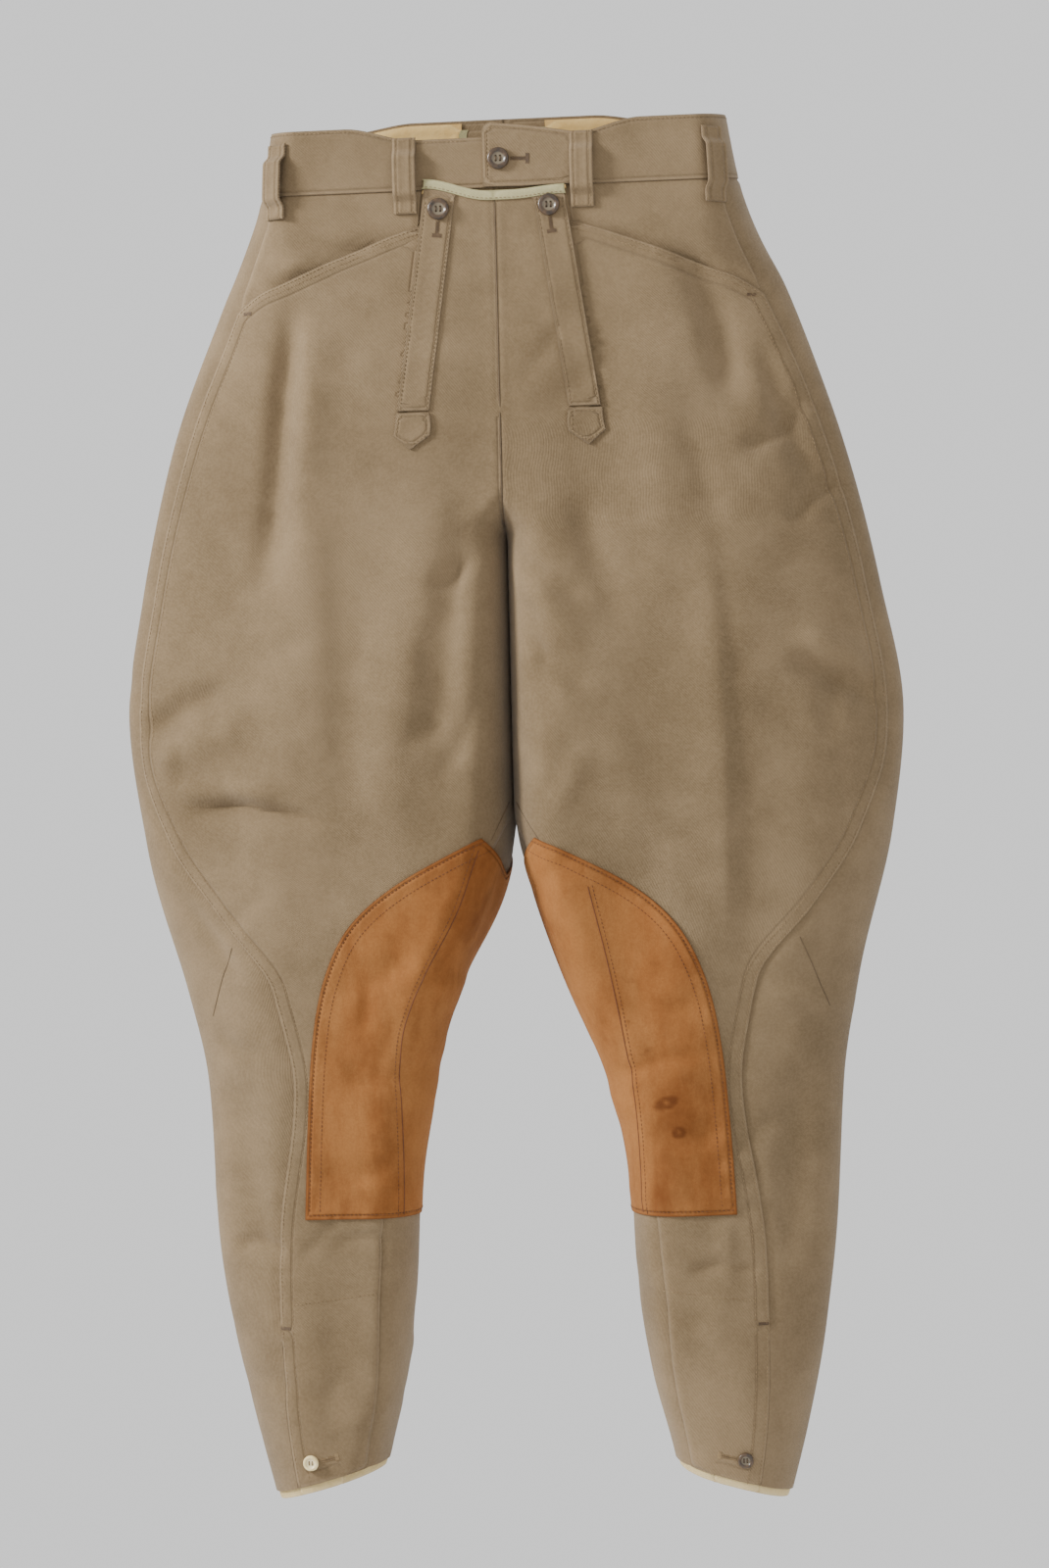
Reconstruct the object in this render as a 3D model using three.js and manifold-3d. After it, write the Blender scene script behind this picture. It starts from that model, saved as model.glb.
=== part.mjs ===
// Riding breeches with flared thighs, a buttoned fall front and suede knee strappings.
// Millimetres, +Z up. The front faces -Y, and left and right are the wearer's, so left is +X.
// The origin is on the centre line, halfway between the front and the back of the waist,
// level with the top edge of the front waistband, where a clip hanger holds it.
import * as THREE from "three";
import { mergeVertices } from "three/addons/utils/BufferGeometryUtils.js";
import Module from "manifold-3d";

const wasm = await Module();
wasm.setup();

// ---------------------------------------------------------------- driving dimensions

const CLOTH = 1.2; // thickness of the twill, and of each layer that lies on it
const GAP = 0.3; // free gap between two layers, and between two panels at a seam
const STEP = CLOTH + GAP; // from the middle of one layer to the middle of the next

const WAIST_DEPTH = 38; // centre to front, at the waist
const BAND_HEIGHT = 44; // waistband, top edge to seam
const BACK_RISE = 10; // how much higher the waistband stands at the centre back
const CROTCH_Z = -285; // where the two legs part
const HEM_Z = -934; // hem, at the middle of the leg
const DRAWN_HEM_Z = -934; // the hem that the stations further down are drawn for
const HEM_SLOPE = 0.27; // the hem falls by this much for each millimetre outwards
const CUFF_MIDDLE_X = 143; // middle of the leg at the hem

const FLAP_TOP = -BAND_HEIGHT - 0.6; // top edge of the fall flap
const FLAP_HEIGHT = 152; // top edge to fold line
const FLAP_HALF_TOP = 48; // half width at the top edge
const FLAP_HALF_FOLD = 70; // half width at the fold line
const FLAP_LAP = 8; // how far the flap lies over the front panels beside it
const STRIP_WIDTH = 22; // facing strip down each side of the flap
const BINDING_HEIGHT = 6; // light tape over the flap's top edge
const POINT_LENGTH = 26; // pointed end of the facing, below the fold line
const POINT_SHOULDER = 16; // where the point starts, below the fold line
const FOLD_CLEARANCE = 0.6; // between the folding cloth and what is sewn down beside it
const BEARER_DROP = 14; // how far the bearer reaches below the fold line

const TAB_START = -7; // free end of the waistband tab, past the centre line
const TAB_END = 50; // where the waistband tab folds open
const TAB_THICK = 2.1; // the tab is doubled cloth
const TAB_CORNER = 6; // radius of the tab's upper corner
const UNDERLAP_END = 38; // the right waistband reaches this far under the tab

const BIG_BUTTON = 15.2; // diameter of the waist and flap buttons, 24 ligne
const SMALL_BUTTON = 11; // diameter of the cuff buttons
const BUTTON_THICK = 3;
const HOLE_CLEARANCE = 0.8; // from the button's rim to the edge of its hole
const SHANK_RADIUS = 1.4; // thread that holds a button off its cloth
const EYE_RADIUS = 0.8;
const EYE_SPREAD = 1.5; // from the middle lines of the button to each eye
const WAIST_BUTTON = { x: 4, z: -25 };
const FLAP_BUTTON = { x: 38, z: FLAP_TOP - 13.4 };
const CUFF_BUTTON = { x: CUFF_MIDDLE_X + 7, z: HEM_Z + 14 };

const LOOP_WIDTH = 16;
const LOOP_TOP = -8;
const LOOP_LENGTH = 52;
const LOOP_ROOM = 7; // room for a belt behind the loop
const LOOP_SEAT = 1.2; // gap under the loop's sewn ends
const LOOP_END = 7; // height of each sewn end
const LOOP_BEND = 5; // height over which the loop leaves the cloth
const FRONT_LOOP_X = 61;
const SIDE_LOOP_X = 150;
const BACK_LOOP_X = 66;

const POCKET_ROOM = 8; // room inside the pocket bag
const POCKET_INNER_X = 75; // sides of the pocket bag
const POCKET_OUTER_X = 150;
const POCKET_BOTTOM = -280;
const POCKET_TOP = -64;
const POCKET_CORNER = 18; // radius of the bag's lower corners
const YOKE_BOTTOM = -150; // lower edge of the facing behind the pocket mouth

const OUTLET_WIDTH = 31; // spare seam cloth each side of the centre back seam
const OUTLET_BOTTOM = -150;
const LINING_INSET = 2; // the lining stops this far below the waistband's top edge
const LINING_FRONT_X = 52; // where the lining starts on the front

const SLIT_TOP = HEM_Z + 106; // upper end of the cuff opening
const CUFF_FLAP_WIDTH = 32; // part of the front panel that folds open beside the slit
const UNDERLAP_WIDTH = 20; // extension of the back panel behind the cuff flap
const UNDERLAP_SEWN = 4; // how far that extension reaches behind the back panel
const UNDERLAP_TOP = 8; // how far it reaches above the slit
const TAPE_SHOW = 3.5; // how far the light hem tape shows below the hem
const TAPE_HEIGHT = 14; // how far it reaches above the hem

const FRONT_CUTS = [-290, -560]; // where a front panel is cut into shorter lengths
const BACK_CUTS = [-290, -520, -740]; // and a back panel

const STRAP_BOTTOM = -751; // lower edge of the suede strapping
const STRAP_NOTCH = -516; // where its edge crosses the inside of the leg

// One leg with its half of the trunk, as [height, value] stations.
const OUTER = [
  [16, 156], [-48, 168], [-116, 198], [-218, 234], [-320, 258], [-405, 271], [-490, 261],
  [-592, 235], [-660, 222], [-762, 216], [-830, 207], [-898, 193], [-964, 176],
];
const INNER = [
  [16, -80], [CROTCH_Z + 85, -80], [CROTCH_Z + 35, -30], [CROTCH_Z, 1.6], [-470, 1.6], [-500, 5],
  [-524, 11],
  [-592, 36], [-660, 60], [-728, 74], [-796, 78], [-864, 87], [-918, 100], [-964, 109],
];
const FLAT_END = [
  [16, 134], [-48, 140], [-120, 134], [-200, 124], [-320, 110], [-405, 100], [-592, 112], [-660, 122],
  [-762, 134], [-864, 142], [-964, 146],
];
const INNER_ROUND = [[16, 35], [CROTCH_Z, 32], [-495, 28], [-592, 34], [-762, 32], [-964, 26]];
const FRONT_DEPTH = [
  [16, WAIST_DEPTH], [-60, WAIST_DEPTH], [-200, 41], [-300, 48], [-420, 54], [-520, 52],
  [-600, 46], [-700, 40], [-800, 38], [-880, 34], [-964, 30],
];
const BACK_DEPTH = [
  [16, WAIST_DEPTH], [-60, 42], [-160, 60], [-300, 68], [-420, 66], [-520, 56], [-600, 48],
  [-700, 52], [-780, 54], [-880, 42], [-964, 33],
];
// Outseam: how far it lies in from the outer edge, on the front of the leg.
const OUTSEAM_IN = [
  [16, 12], [-48, 14], [-116, 17], [-200, 13], [-320, 10], [-430, 10], [-490, 22],
  [-540, 43], [-592, 68], [-640, 68], [-762, 48], [-830, 38], [-898, 27], [-964, 20],
];
// Inseam: how far it lies out from the inner edge, on the front of the leg.
const INSEAM_TOP = -470;
const INSEAM_OUT = [
  [INSEAM_TOP, 0], [-524, 13], [-592, 22], [-694, 18], [-796, 20], [-864, 15], [-964, 8],
];

// Pocket mouth on the left front panel, as [x, z] from the flap to the outseam.
const POCKET_MOUTH = [[20, -62], [57, -70], [92, -82], [145, -103], [172, -114], [215, -146]];
// Edge of the suede strapping on the front and on the back of the left leg, as [x, z].
const STRAP_FRONT = [
  [20, -490], [46, -503], [74, -518], [98, -535], [115, -553], [127, -575], [136, -603],
  [142, -640], [146, -690], [149, STRAP_BOTTOM],
];
const STRAP_BACK = [
  [14, -497], [45, -517], [72, -543], [90, -577], [101, -625], [107, -685], [110, STRAP_BOTTOM],
];

// ---------------------------------------------------------------- one side's surface

// A height drawn for DRAWN_HEM_Z, moved to suit the real length of the leg.
const LEG_SHARE = (HEM_Z - CROTCH_Z) / (DRAWN_HEM_Z - CROTCH_Z);
const fitted = (z) => (z < CROTCH_Z ? CROTCH_Z + (z - CROTCH_Z) * LEG_SHARE : z);

// A smooth curve through [z, value] stations that never overshoots them.
function profile(stations) {
  const list = stations.map(([z, value]) => [fitted(z), value]).sort((p, q) => p[0] - q[0]);
  const slopes = list.slice(1).map((p, i) => (p[1] - list[i][1]) / (p[0] - list[i][0]));
  const tangents = list.map((_, i) => {
    if (i === 0) return slopes[0];
    if (i === list.length - 1) return slopes.at(-1);
    const [before, after] = [slopes[i - 1], slopes[i]];
    return before * after <= 0 ? 0 : (2 * before * after) / (before + after);
  });
  return (z) => {
    if (z <= list[0][0]) return list[0][1];
    if (z >= list.at(-1)[0]) return list.at(-1)[1];
    const i = list.findIndex((p) => p[0] > z) - 1;
    const span = list[i + 1][0] - list[i][0];
    const t = (z - list[i][0]) / span;
    const [t2, t3] = [t * t, t * t * t];
    return (
      (2 * t3 - 3 * t2 + 1) * list[i][1] +
      (t3 - 2 * t2 + t) * span * tangents[i] +
      (3 * t2 - 2 * t3) * list[i + 1][1] +
      (t3 - t2) * span * tangents[i + 1]
    );
  };
}

const outer = profile(OUTER);
const inner = profile(INNER);
const flatEnd = profile(FLAT_END);
const innerRound = profile(INNER_ROUND);
const frontDepth = profile(FRONT_DEPTH);
const backDepth = profile(BACK_DEPTH);
const outseamIn = profile(OUTSEAM_IN);
const inseamOut = profile(INSEAM_OUT);

const lerp = (a, b, t) => a + (b - a) * t;
const smooth = (t) => THREE.MathUtils.smoothstep(t, 0, 1);
const outseamX = (z) => outer(z) - outseamIn(z);
const inseamX = (z) => inner(z) + inseamOut(z);

// A point on the middle of the left side's cloth. tau runs round the leg: 0 is the inner
// point, 1 to 2 the flat of the front, 3 the outer point, 4 to 5 the flat of the back.
function surface(tau, z) {
  const turn = THREE.MathUtils.euclideanModulo(tau, 6);
  const t = turn <= 3 ? turn : 6 - turn;
  const start = inner(z) + innerRound(z);
  const end = flatEnd(z);
  let x = lerp(start, end, t - 1);
  let share = 1;
  if (t < 1) {
    x = start - innerRound(z) * Math.cos((t * Math.PI) / 2);
    share = Math.sin((t * Math.PI) / 2);
  } else if (t > 2) {
    x = end + (outer(z) - end) * Math.sin(((t - 2) * Math.PI) / 2);
    share = Math.cos(((t - 2) * Math.PI) / 2);
  }
  return new THREE.Vector3(x, turn <= 3 ? -frontDepth(z) * share : backDepth(z) * share, z);
}

function normal(tau, z) {
  const along = surface(tau + 0.01, z).sub(surface(tau - 0.01, z));
  const up = surface(tau, z + 1).sub(surface(tau, z - 1));
  return along.cross(up).normalize();
}

// tau where the front reaches x.
function tauAt(x, z) {
  const start = inner(z) + innerRound(z);
  const end = flatEnd(z);
  if (x < start) return (Math.acos(Math.min(1, (start - x) / innerRound(z))) * 2) / Math.PI;
  if (x <= end) return 1 + (x - start) / (end - start);
  return 2 + (Math.asin(Math.min(1, (x - end) / (outer(z) - end))) * 2) / Math.PI;
}

// ---------------------------------------------------------------- solids

function solid(geometry) {
  const bare = geometry.clone();
  for (const name of ["normal", "uv"]) bare.deleteAttribute(name);
  const merged = mergeVertices(bare, 1e-4);
  return new wasm.Manifold(
    new wasm.Mesh({
      numProp: 3,
      vertProperties: new Float32Array(merged.attributes.position.array),
      triVerts: new Uint32Array(merged.index.array),
    }),
  );
}

function toGeometry(manifold) {
  const mesh = manifold.getMesh();
  const position = new THREE.BufferAttribute(new Float32Array(mesh.vertProperties), 3);
  const geometry = new THREE.BufferGeometry();
  geometry.setAttribute("position", position);
  geometry.setIndex(new THREE.BufferAttribute(new Uint32Array(mesh.triVerts), 1));
  return geometry;
}

const mirrored = (manifold) => manifold.mirror([1, 0, 0]);

// Every layer is built on one grid, so that stacked layers stay the same distance apart.
const FINE_ROWS = 6;
const FINE_STEP = 14;
const ROWS = 28;
const ROW_TOP = 16;
const ROW_BOTTOM = HEM_Z - 30;
const FINE_BOTTOM = ROW_TOP - FINE_ROWS * FINE_STEP;
const rowHeights = Array.from({ length: ROWS + 1 }, (_, i) => {
  if (i <= FINE_ROWS) return ROW_TOP - i * FINE_STEP;
  return lerp(FINE_BOTTOM, ROW_BOTTOM, (i - FINE_ROWS) / (ROWS - FINE_ROWS));
}).reverse();
const ROUND_STEPS = 5;

function columns(flatSteps) {
  const parts = [ROUND_STEPS, flatSteps, ROUND_STEPS, ROUND_STEPS, 2, ROUND_STEPS];
  return parts.flatMap((count, part) => Array.from({ length: count }, (_, i) => part + i / count));
}

// A closed tube wall between two offsets from the cloth's middle; an offset may be a function.
function shell(inside, outside, flatSteps = 2) {
  const taus = columns(flatSteps);
  const points = [];
  for (const offset of [inside, outside])
    for (const z of rowHeights)
      for (const tau of taus) {
        const distance = typeof offset === "function" ? offset(tau, z) : offset;
        points.push(...surface(tau, z).addScaledVector(normal(tau, z), distance));
      }
  const index = [];
  const at = (side, row, column) =>
    (side * rowHeights.length + row) * taus.length + (column % taus.length);
  const quad = (a, b, c, d) => index.push(a, b, c, a, c, d);
  for (let c = 0; c < taus.length; c++) {
    for (let r = 0; r < ROWS; r++) {
      quad(at(1, r, c), at(1, r, c + 1), at(1, r + 1, c + 1), at(1, r + 1, c));
      quad(at(0, r, c), at(0, r + 1, c), at(0, r + 1, c + 1), at(0, r, c + 1));
    }
    quad(at(0, 0, c), at(0, 0, c + 1), at(1, 0, c + 1), at(1, 0, c));
    quad(at(0, ROWS, c), at(1, ROWS, c), at(1, ROWS, c + 1), at(0, ROWS, c + 1));
  }
  const geometry = new THREE.BufferGeometry();
  geometry.setAttribute("position", new THREE.Float32BufferAttribute(points, 3));
  geometry.setIndex(index);
  return solid(geometry);
}

// Faces of layer n: 0 is the panels, higher numbers lie on them, negative ones behind them.
const under = (n) => n * STEP - CLOTH / 2;
const over = (n) => n * STEP + CLOTH / 2;
const PANEL = shell(under(0), over(0));
const FACING = shell(under(1), over(1));
const TRIM = shell(under(2), over(2));
const BEHIND = shell(under(-1), over(-1));

// A prism along Y over an outline of [x, z] points, between two values of y.
const FAR = 400;
const LOW = HEM_Z - 2 * FAR;
const HIGH = 60;
function prism(outline, yLow, yHigh) {
  const shape = new THREE.Shape(outline.map(([x, z]) => new THREE.Vector2(x, z)));
  const geometry = new THREE.ExtrudeGeometry(shape, { depth: yHigh - yLow, bevelEnabled: false });
  return solid(geometry.rotateX(Math.PI / 2).translate(0, yHigh, 0));
}
const onFront = (outline, grow = 0) => prism(outline, -FAR, grow);
const onBack = (outline) => prism(outline, 0, FAR);
const through = (outline) => prism(outline, -FAR, FAR);
const rectangle = (x0, x1, z0, z1) => [[x0, z0], [x1, z0], [x1, z1], [x0, z1]];

const curve = (points, count = 20) =>
  new THREE.SplineCurve(points.map(([x, z]) => new THREE.Vector2(x, z)))
    .getPoints(count)
    .map((p) => [p.x, p.y]);

const leftHalf = through(rectangle(GAP / 2, FAR, LOW, FAR));

// Keeps what lies at least `drop` below the waistband's sloping top edge, or above that.
const BAND_SLOPE = BACK_RISE / (2 * WAIST_DEPTH);
const bandLength = Math.hypot(BAND_SLOPE, 1);
const belowBand = (part, drop) =>
  part.trimByPlane([0, BAND_SLOPE, -1], (drop - BAND_SLOPE * WAIST_DEPTH) / bandLength);
const aboveBand = (part, drop) =>
  part.trimByPlane([0, -BAND_SLOPE, 1], (BAND_SLOPE * WAIST_DEPTH - drop) / bandLength);

// Keeps what lies above the hem, moved up by `lift`, or below that.
const hemLength = Math.hypot(HEM_SLOPE, 1);
const hemLevel = (lift) => (HEM_Z + lift + HEM_SLOPE * CUFF_MIDDLE_X) / hemLength;
const aboveHem = (part, lift = 0) => part.trimByPlane([HEM_SLOPE, 0, 1], hemLevel(lift));
const belowHem = (part, lift) => part.trimByPlane([-HEM_SLOPE, 0, -1], -hemLevel(lift));

// Moves a part built about its own origin to the front or back surface, its +Z outwards.
function place(part, tau, z, lift) {
  const out = normal(tau, z);
  const side = new THREE.Vector3(0, 0, 1).cross(out).normalize();
  const up = out.clone().cross(side);
  const spot = surface(tau, z).addScaledVector(out, lift);
  return part.transform(new THREE.Matrix4().makeBasis(side, up, out).setPosition(spot).elements);
}

// A round solid about +Z, turned from a few [radius, height] points.
function turned(points, sides) {
  const outline = points.map(([r, h]) => new THREE.Vector2(r, h));
  return solid(new THREE.LatheGeometry(outline, sides).rotateX(Math.PI / 2));
}
const disc = (radius, thick, sides) =>
  turned([[0, 0], [radius, 0], [radius, thick], [0, thick]], sides);

// ---------------------------------------------------------------- outlines

const FOLD_Z = FLAP_TOP - FLAP_HEIGHT;
const flapEdge = (z) => lerp(FLAP_HALF_TOP, FLAP_HALF_FOLD, (FLAP_TOP - z) / FLAP_HEIGHT);

// A band down the flap, between two offsets from its edge.
const alongFlap = (x0, x1, low, high) => [
  [flapEdge(low) + x0, low], [flapEdge(low) + x1, low], [flapEdge(high) + x1, high],
  [flapEdge(high) + x0, high],
];
// The flap's own half, from the centre line or past it.
const flapHalf = (start, low, high) => [
  [start, low], [flapEdge(low), low], [flapEdge(high), high], [start, high],
];
const bearerEdge = (z) => flapEdge(z) + 1;

function frontOutline(grow) {
  const heights = [...rowHeights].reverse();
  const top = fitted(INSEAM_TOP);
  const legHeights = rowHeights.filter((z) => z < top - 4);
  return [
    [outseamX(HIGH) + grow, HIGH],
    ...heights.map((z) => [outseamX(z) + grow, z]),
    [outseamX(LOW) + grow, LOW],
    [inseamX(LOW) - grow, LOW],
    ...legHeights.map((z) => [inseamX(z) - grow, z]),
    [inner(top), top],
    [-FAR, top],
    [-FAR, HIGH],
  ];
}

const aboveMouth = (drop) => {
  const mouth = curve(POCKET_MOUTH).map(([x, z]) => [x, z - drop]);
  return onFront([...mouth, [FAR, mouth.at(-1)[1]], [FAR, HIGH], [0, HIGH], [0, mouth[0][1]]]);
};

const cuffFold = (z) => {
  const top = outseamX(SLIT_TOP) - CUFF_FLAP_WIDTH;
  const bottom = outseamX(HEM_Z) - CUFF_FLAP_WIDTH;
  return lerp(bottom, top, (z - HEM_Z) / (SLIT_TOP - HEM_Z));
};
// Part of the cuff between the fold and the outseam, each edge moved out by its own amount.
function cuffOutline(atFold, atSlit, atTop) {
  const points = [[cuffFold(LOW) - atFold, LOW], [outseamX(LOW) + atSlit, LOW]];
  for (const z of rowHeights.filter((row) => row < SLIT_TOP)) points.push([outseamX(z) + atSlit, z]);
  points.push([outseamX(SLIT_TOP) + atSlit, SLIT_TOP + atTop]);
  points.push([cuffFold(SLIT_TOP) - atFold, SLIT_TOP + atTop]);
  return points;
}
const underlapOutline = (grow) => {
  const top = SLIT_TOP + UNDERLAP_TOP;
  const heights = [...rowHeights.filter((z) => z < top), top];
  const inboard = heights.map((z) => [outseamX(z) - UNDERLAP_WIDTH - grow, z]);
  return [...heights.map((z) => [outseamX(z) + UNDERLAP_SEWN + grow, z]), ...inboard.reverse()];
};

const strapOutline = (edge) => {
  const [notch, bottom] = [fitted(STRAP_NOTCH), fitted(STRAP_BOTTOM)];
  const side = curve(edge.map(([x, z]) => [x, fitted(z)]));
  return [[-FAR, notch], [inner(notch) + 1, notch], ...side, [-FAR, bottom]];
};

// Cuts a panel across at these heights, with a gap at each cut; the lengths come from the top.
function lengths(panel, cuts) {
  const levels = [HIGH, ...cuts.map(fitted), LOW];
  return levels.slice(1).map((low, i) =>
    panel
      .trimByPlane([0, 0, 1], low + GAP / 2)
      .trimByPlane([0, 0, -1], GAP / 2 - levels[i]),
  );
}

// ---------------------------------------------------------------- the cloth pieces

function frontPanel() {
  const beside = onFront([
    [-FAR, FOLD_Z], [flapEdge(FOLD_Z) - FLAP_LAP, FOLD_Z], [flapEdge(HIGH) - FLAP_LAP, HIGH],
    [-FAR, HIGH],
  ]);
  const cuff = onFront(cuffOutline(FOLD_CLEARANCE, GAP * 2, GAP));
  return aboveHem(PANEL.intersect(onFront(frontOutline(0))).intersect(leftHalf))
    .subtract(beside)
    .subtract(aboveMouth(0))
    .subtract(cuff);
}

function backPanel() {
  const front = onFront(frontOutline(GAP), GAP);
  return belowBand(aboveHem(PANEL.subtract(front).intersect(leftHalf)), BAND_HEIGHT + GAP);
}

// The facing above the pocket mouth, which sinks behind the front panel to line the pocket.
function pocketYoke() {
  const sink = (tau, z) => {
    const { x } = surface(tau, z);
    const inPocket = smooth((x - POCKET_INNER_X + 9) / 26) * smooth((POCKET_OUTER_X + 10 - x) / 25);
    return smooth((-BAND_HEIGHT - 2 - z) / 20) * (STEP + 0.1 + (POCKET_ROOM - GAP) * inPocket);
  };
  const wall = shell(
    (tau, z) => (tau > 0.9 && tau < 3 ? -sink(tau, z) : 0) - CLOTH / 2,
    (tau, z) => (tau > 0.9 && tau < 3 ? -sink(tau, z) : 0) + CLOTH / 2,
    10,
  );
  const beside = [
    [bearerEdge(YOKE_BOTTOM) + 2 * GAP, YOKE_BOTTOM], [FAR, YOKE_BOTTOM], [FAR, HIGH],
    [bearerEdge(HIGH) + 2 * GAP, HIGH],
  ];
  const piece = wall.intersect(onFront(frontOutline(0))).intersect(onFront(beside));
  return belowBand(piece, BAND_HEIGHT + GAP);
}

function pocketBag() {
  const front = over(-1);
  const back = under(-1) - POCKET_ROOM - CLOTH;
  const pouch = (inset, top) => {
    const shape = new THREE.Shape();
    const [x0, x1, z0] = [POCKET_INNER_X + inset, POCKET_OUTER_X - inset, POCKET_BOTTOM + inset];
    const r = POCKET_CORNER - inset;
    shape.moveTo(x1, top);
    shape.lineTo(x0, top);
    shape.absarc(x0 + r, z0 + r, r, Math.PI, 1.5 * Math.PI, false);
    shape.absarc(x1 - r, z0 + r, r, 1.5 * Math.PI, 2 * Math.PI, false);
    return onFront(shape.getPoints(4).map((p) => [p.x, p.y]));
  };
  const open = rectangle(POCKET_INNER_X - 5, POCKET_OUTER_X + 5, YOKE_BOTTOM - GAP, HIGH);
  return shell(back, front)
    .intersect(pouch(0, POCKET_TOP))
    .subtract(shell(back + CLOTH, front - CLOTH).intersect(pouch(CLOTH, 0)))
    .subtract(shell(back - 3, front - CLOTH).intersect(onFront(open)))
    .subtract(aboveMouth(1));
}

// Cloth behind the fall flap, from the waistband down past the fold line.
function bearer() {
  const low = FOLD_Z - BEARER_DROP;
  const outline = onFront([
    [GAP / 2, low], [bearerEdge(low), low], [bearerEdge(HIGH), HIGH], [GAP / 2, HIGH],
  ]);
  return belowBand(BEHIND.intersect(outline), BAND_HEIGHT + GAP);
}

function waistband(start) {
  const ahead = onFront(rectangle(start, FAR, -FAR, FAR), 1);
  const behind = onBack(rectangle(GAP / 2, FAR, -FAR, FAR));
  return belowBand(aboveBand(PANEL.intersect(ahead.add(behind)), BAND_HEIGHT), 0);
}

function waistbandLining() {
  const ahead = onFront(rectangle(LINING_FRONT_X, FAR, -FAR, FAR), 1);
  const behind = onBack(rectangle(OUTLET_WIDTH + GAP, FAR, -FAR, FAR));
  return belowBand(
    aboveBand(BEHIND.intersect(ahead.add(behind)), BAND_HEIGHT - LINING_INSET),
    LINING_INSET,
  );
}

function backOutlet() {
  const strip = onBack(rectangle(GAP / 2, OUTLET_WIDTH, OUTLET_BOTTOM, FAR));
  return belowBand(BEHIND.intersect(strip), LINING_INSET / 2);
}

function waistbandTab() {
  const shape = new THREE.Shape();
  const bottom = -BAND_HEIGHT + GAP;
  shape.moveTo(TAB_END - GAP, bottom);
  shape.lineTo(TAB_END - GAP, 0);
  shape.absarc(TAB_START + TAB_CORNER, -TAB_CORNER, TAB_CORNER, Math.PI / 2, Math.PI, false);
  shape.lineTo(TAB_START, bottom);
  const outline = shape.getPoints(5).map((p) => [p.x, p.y]);
  const hole = buttonHole(WAIST_BUTTON, BIG_BUTTON);
  return shell(under(1), under(1) + TAB_THICK).intersect(onFront(outline)).subtract(hole);
}

// ---------------------------------------------------------------- the fall flap

const FLAP_LOW = FOLD_Z + FOLD_CLEARANCE;
const BINDING_LOW = FLAP_TOP - BINDING_HEIGHT;

function buttonHole({ x, z }, diameter) {
  const hole = disc(diameter / 2 + HOLE_CLEARANCE, 30, 16);
  return place(hole, tauAt(x, z), z, -10);
}

function flapPanel() {
  return FACING.intersect(onFront(flapHalf(GAP / 2, FLAP_LOW, FLAP_TOP - STEP)))
    .subtract(buttonHole(FLAP_BUTTON, BIG_BUTTON));
}

function flapFacing() {
  return TRIM.intersect(onFront(alongFlap(-STRIP_WIDTH, 0, FLAP_LOW, BINDING_LOW - GAP)))
    .subtract(buttonHole(FLAP_BUTTON, BIG_BUTTON));
}

function flapBinding() {
  const strip = TRIM.intersect(onFront(flapHalf(-1, BINDING_LOW, FLAP_TOP)));
  const cap = shell(under(1), over(2)).intersect(onFront(flapHalf(-1, FLAP_TOP - CLOTH, FLAP_TOP)));
  const half = strip.add(cap);
  return half.add(mirrored(half));
}

function facingPoint() {
  const top = FOLD_Z - FOLD_CLEARANCE;
  const [x0, x1] = [FLAP_HALF_FOLD - STRIP_WIDTH, FLAP_HALF_FOLD + 1];
  const outline = [
    [x0, top], [x0, FOLD_Z - POINT_SHOULDER], [(x0 + x1) / 2 + 2, FOLD_Z - POINT_LENGTH],
    [x1 + 2, FOLD_Z - POINT_SHOULDER], [x1, top],
  ];
  return shell(under(1), over(2)).intersect(onFront(outline));
}

// ---------------------------------------------------------------- cuffs and strapping

function kneeStrap() {
  const front = onFront(strapOutline(STRAP_FRONT), 1);
  return FACING.intersect(front.add(onBack(strapOutline(STRAP_BACK))));
}

function cuffFlap() {
  const piece = PANEL.intersect(onFront(cuffOutline(0, 0, 0)));
  return aboveHem(piece).subtract(buttonHole(CUFF_BUTTON, SMALL_BUTTON));
}

function cuffFlapTape() {
  const piece = BEHIND.intersect(onFront(cuffOutline(0, -UNDERLAP_WIDTH - 2 * GAP, 0)));
  return belowHem(aboveHem(piece, -TAPE_SHOW), TAPE_HEIGHT);
}

const cuffUnderlap = () => aboveHem(BEHIND.intersect(onFront(underlapOutline(0))));

function hemTape() {
  const opening = onFront(cuffOutline(FOLD_CLEARANCE, UNDERLAP_SEWN + GAP, 0));
  return belowHem(aboveHem(BEHIND.subtract(opening), -TAPE_SHOW), TAPE_HEIGHT);
}

// ---------------------------------------------------------------- buttons and belt loops

// A four-eyed button with a rolled rim, standing on its thread shank; `stand` is from the
// cloth it is sewn to up to its underside.
function button({ x, z }, diameter, sewnTo, stand) {
  const r = diameter / 2;
  const rim = [[0, 0], [0.8, 0], [1, 0.5], [0.9, 1], [0.68, 0.75], [0, 0.65]];
  let body = turned(rim.map(([out, up]) => [out * r, up * BUTTON_THICK]), 18);
  const eye = disc(EYE_RADIUS, BUTTON_THICK * 2, 6);
  for (const dx of [-EYE_SPREAD, EYE_SPREAD])
    for (const dy of [-EYE_SPREAD, EYE_SPREAD])
      body = body.subtract(eye.translate([dx, dy, -BUTTON_THICK / 2]));
  const shank = disc(SHANK_RADIUS, stand, 8).translate([0, 0, GAP - stand]);
  return place(body.add(shank), tauAt(x, z), z, sewnTo + stand);
}

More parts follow.
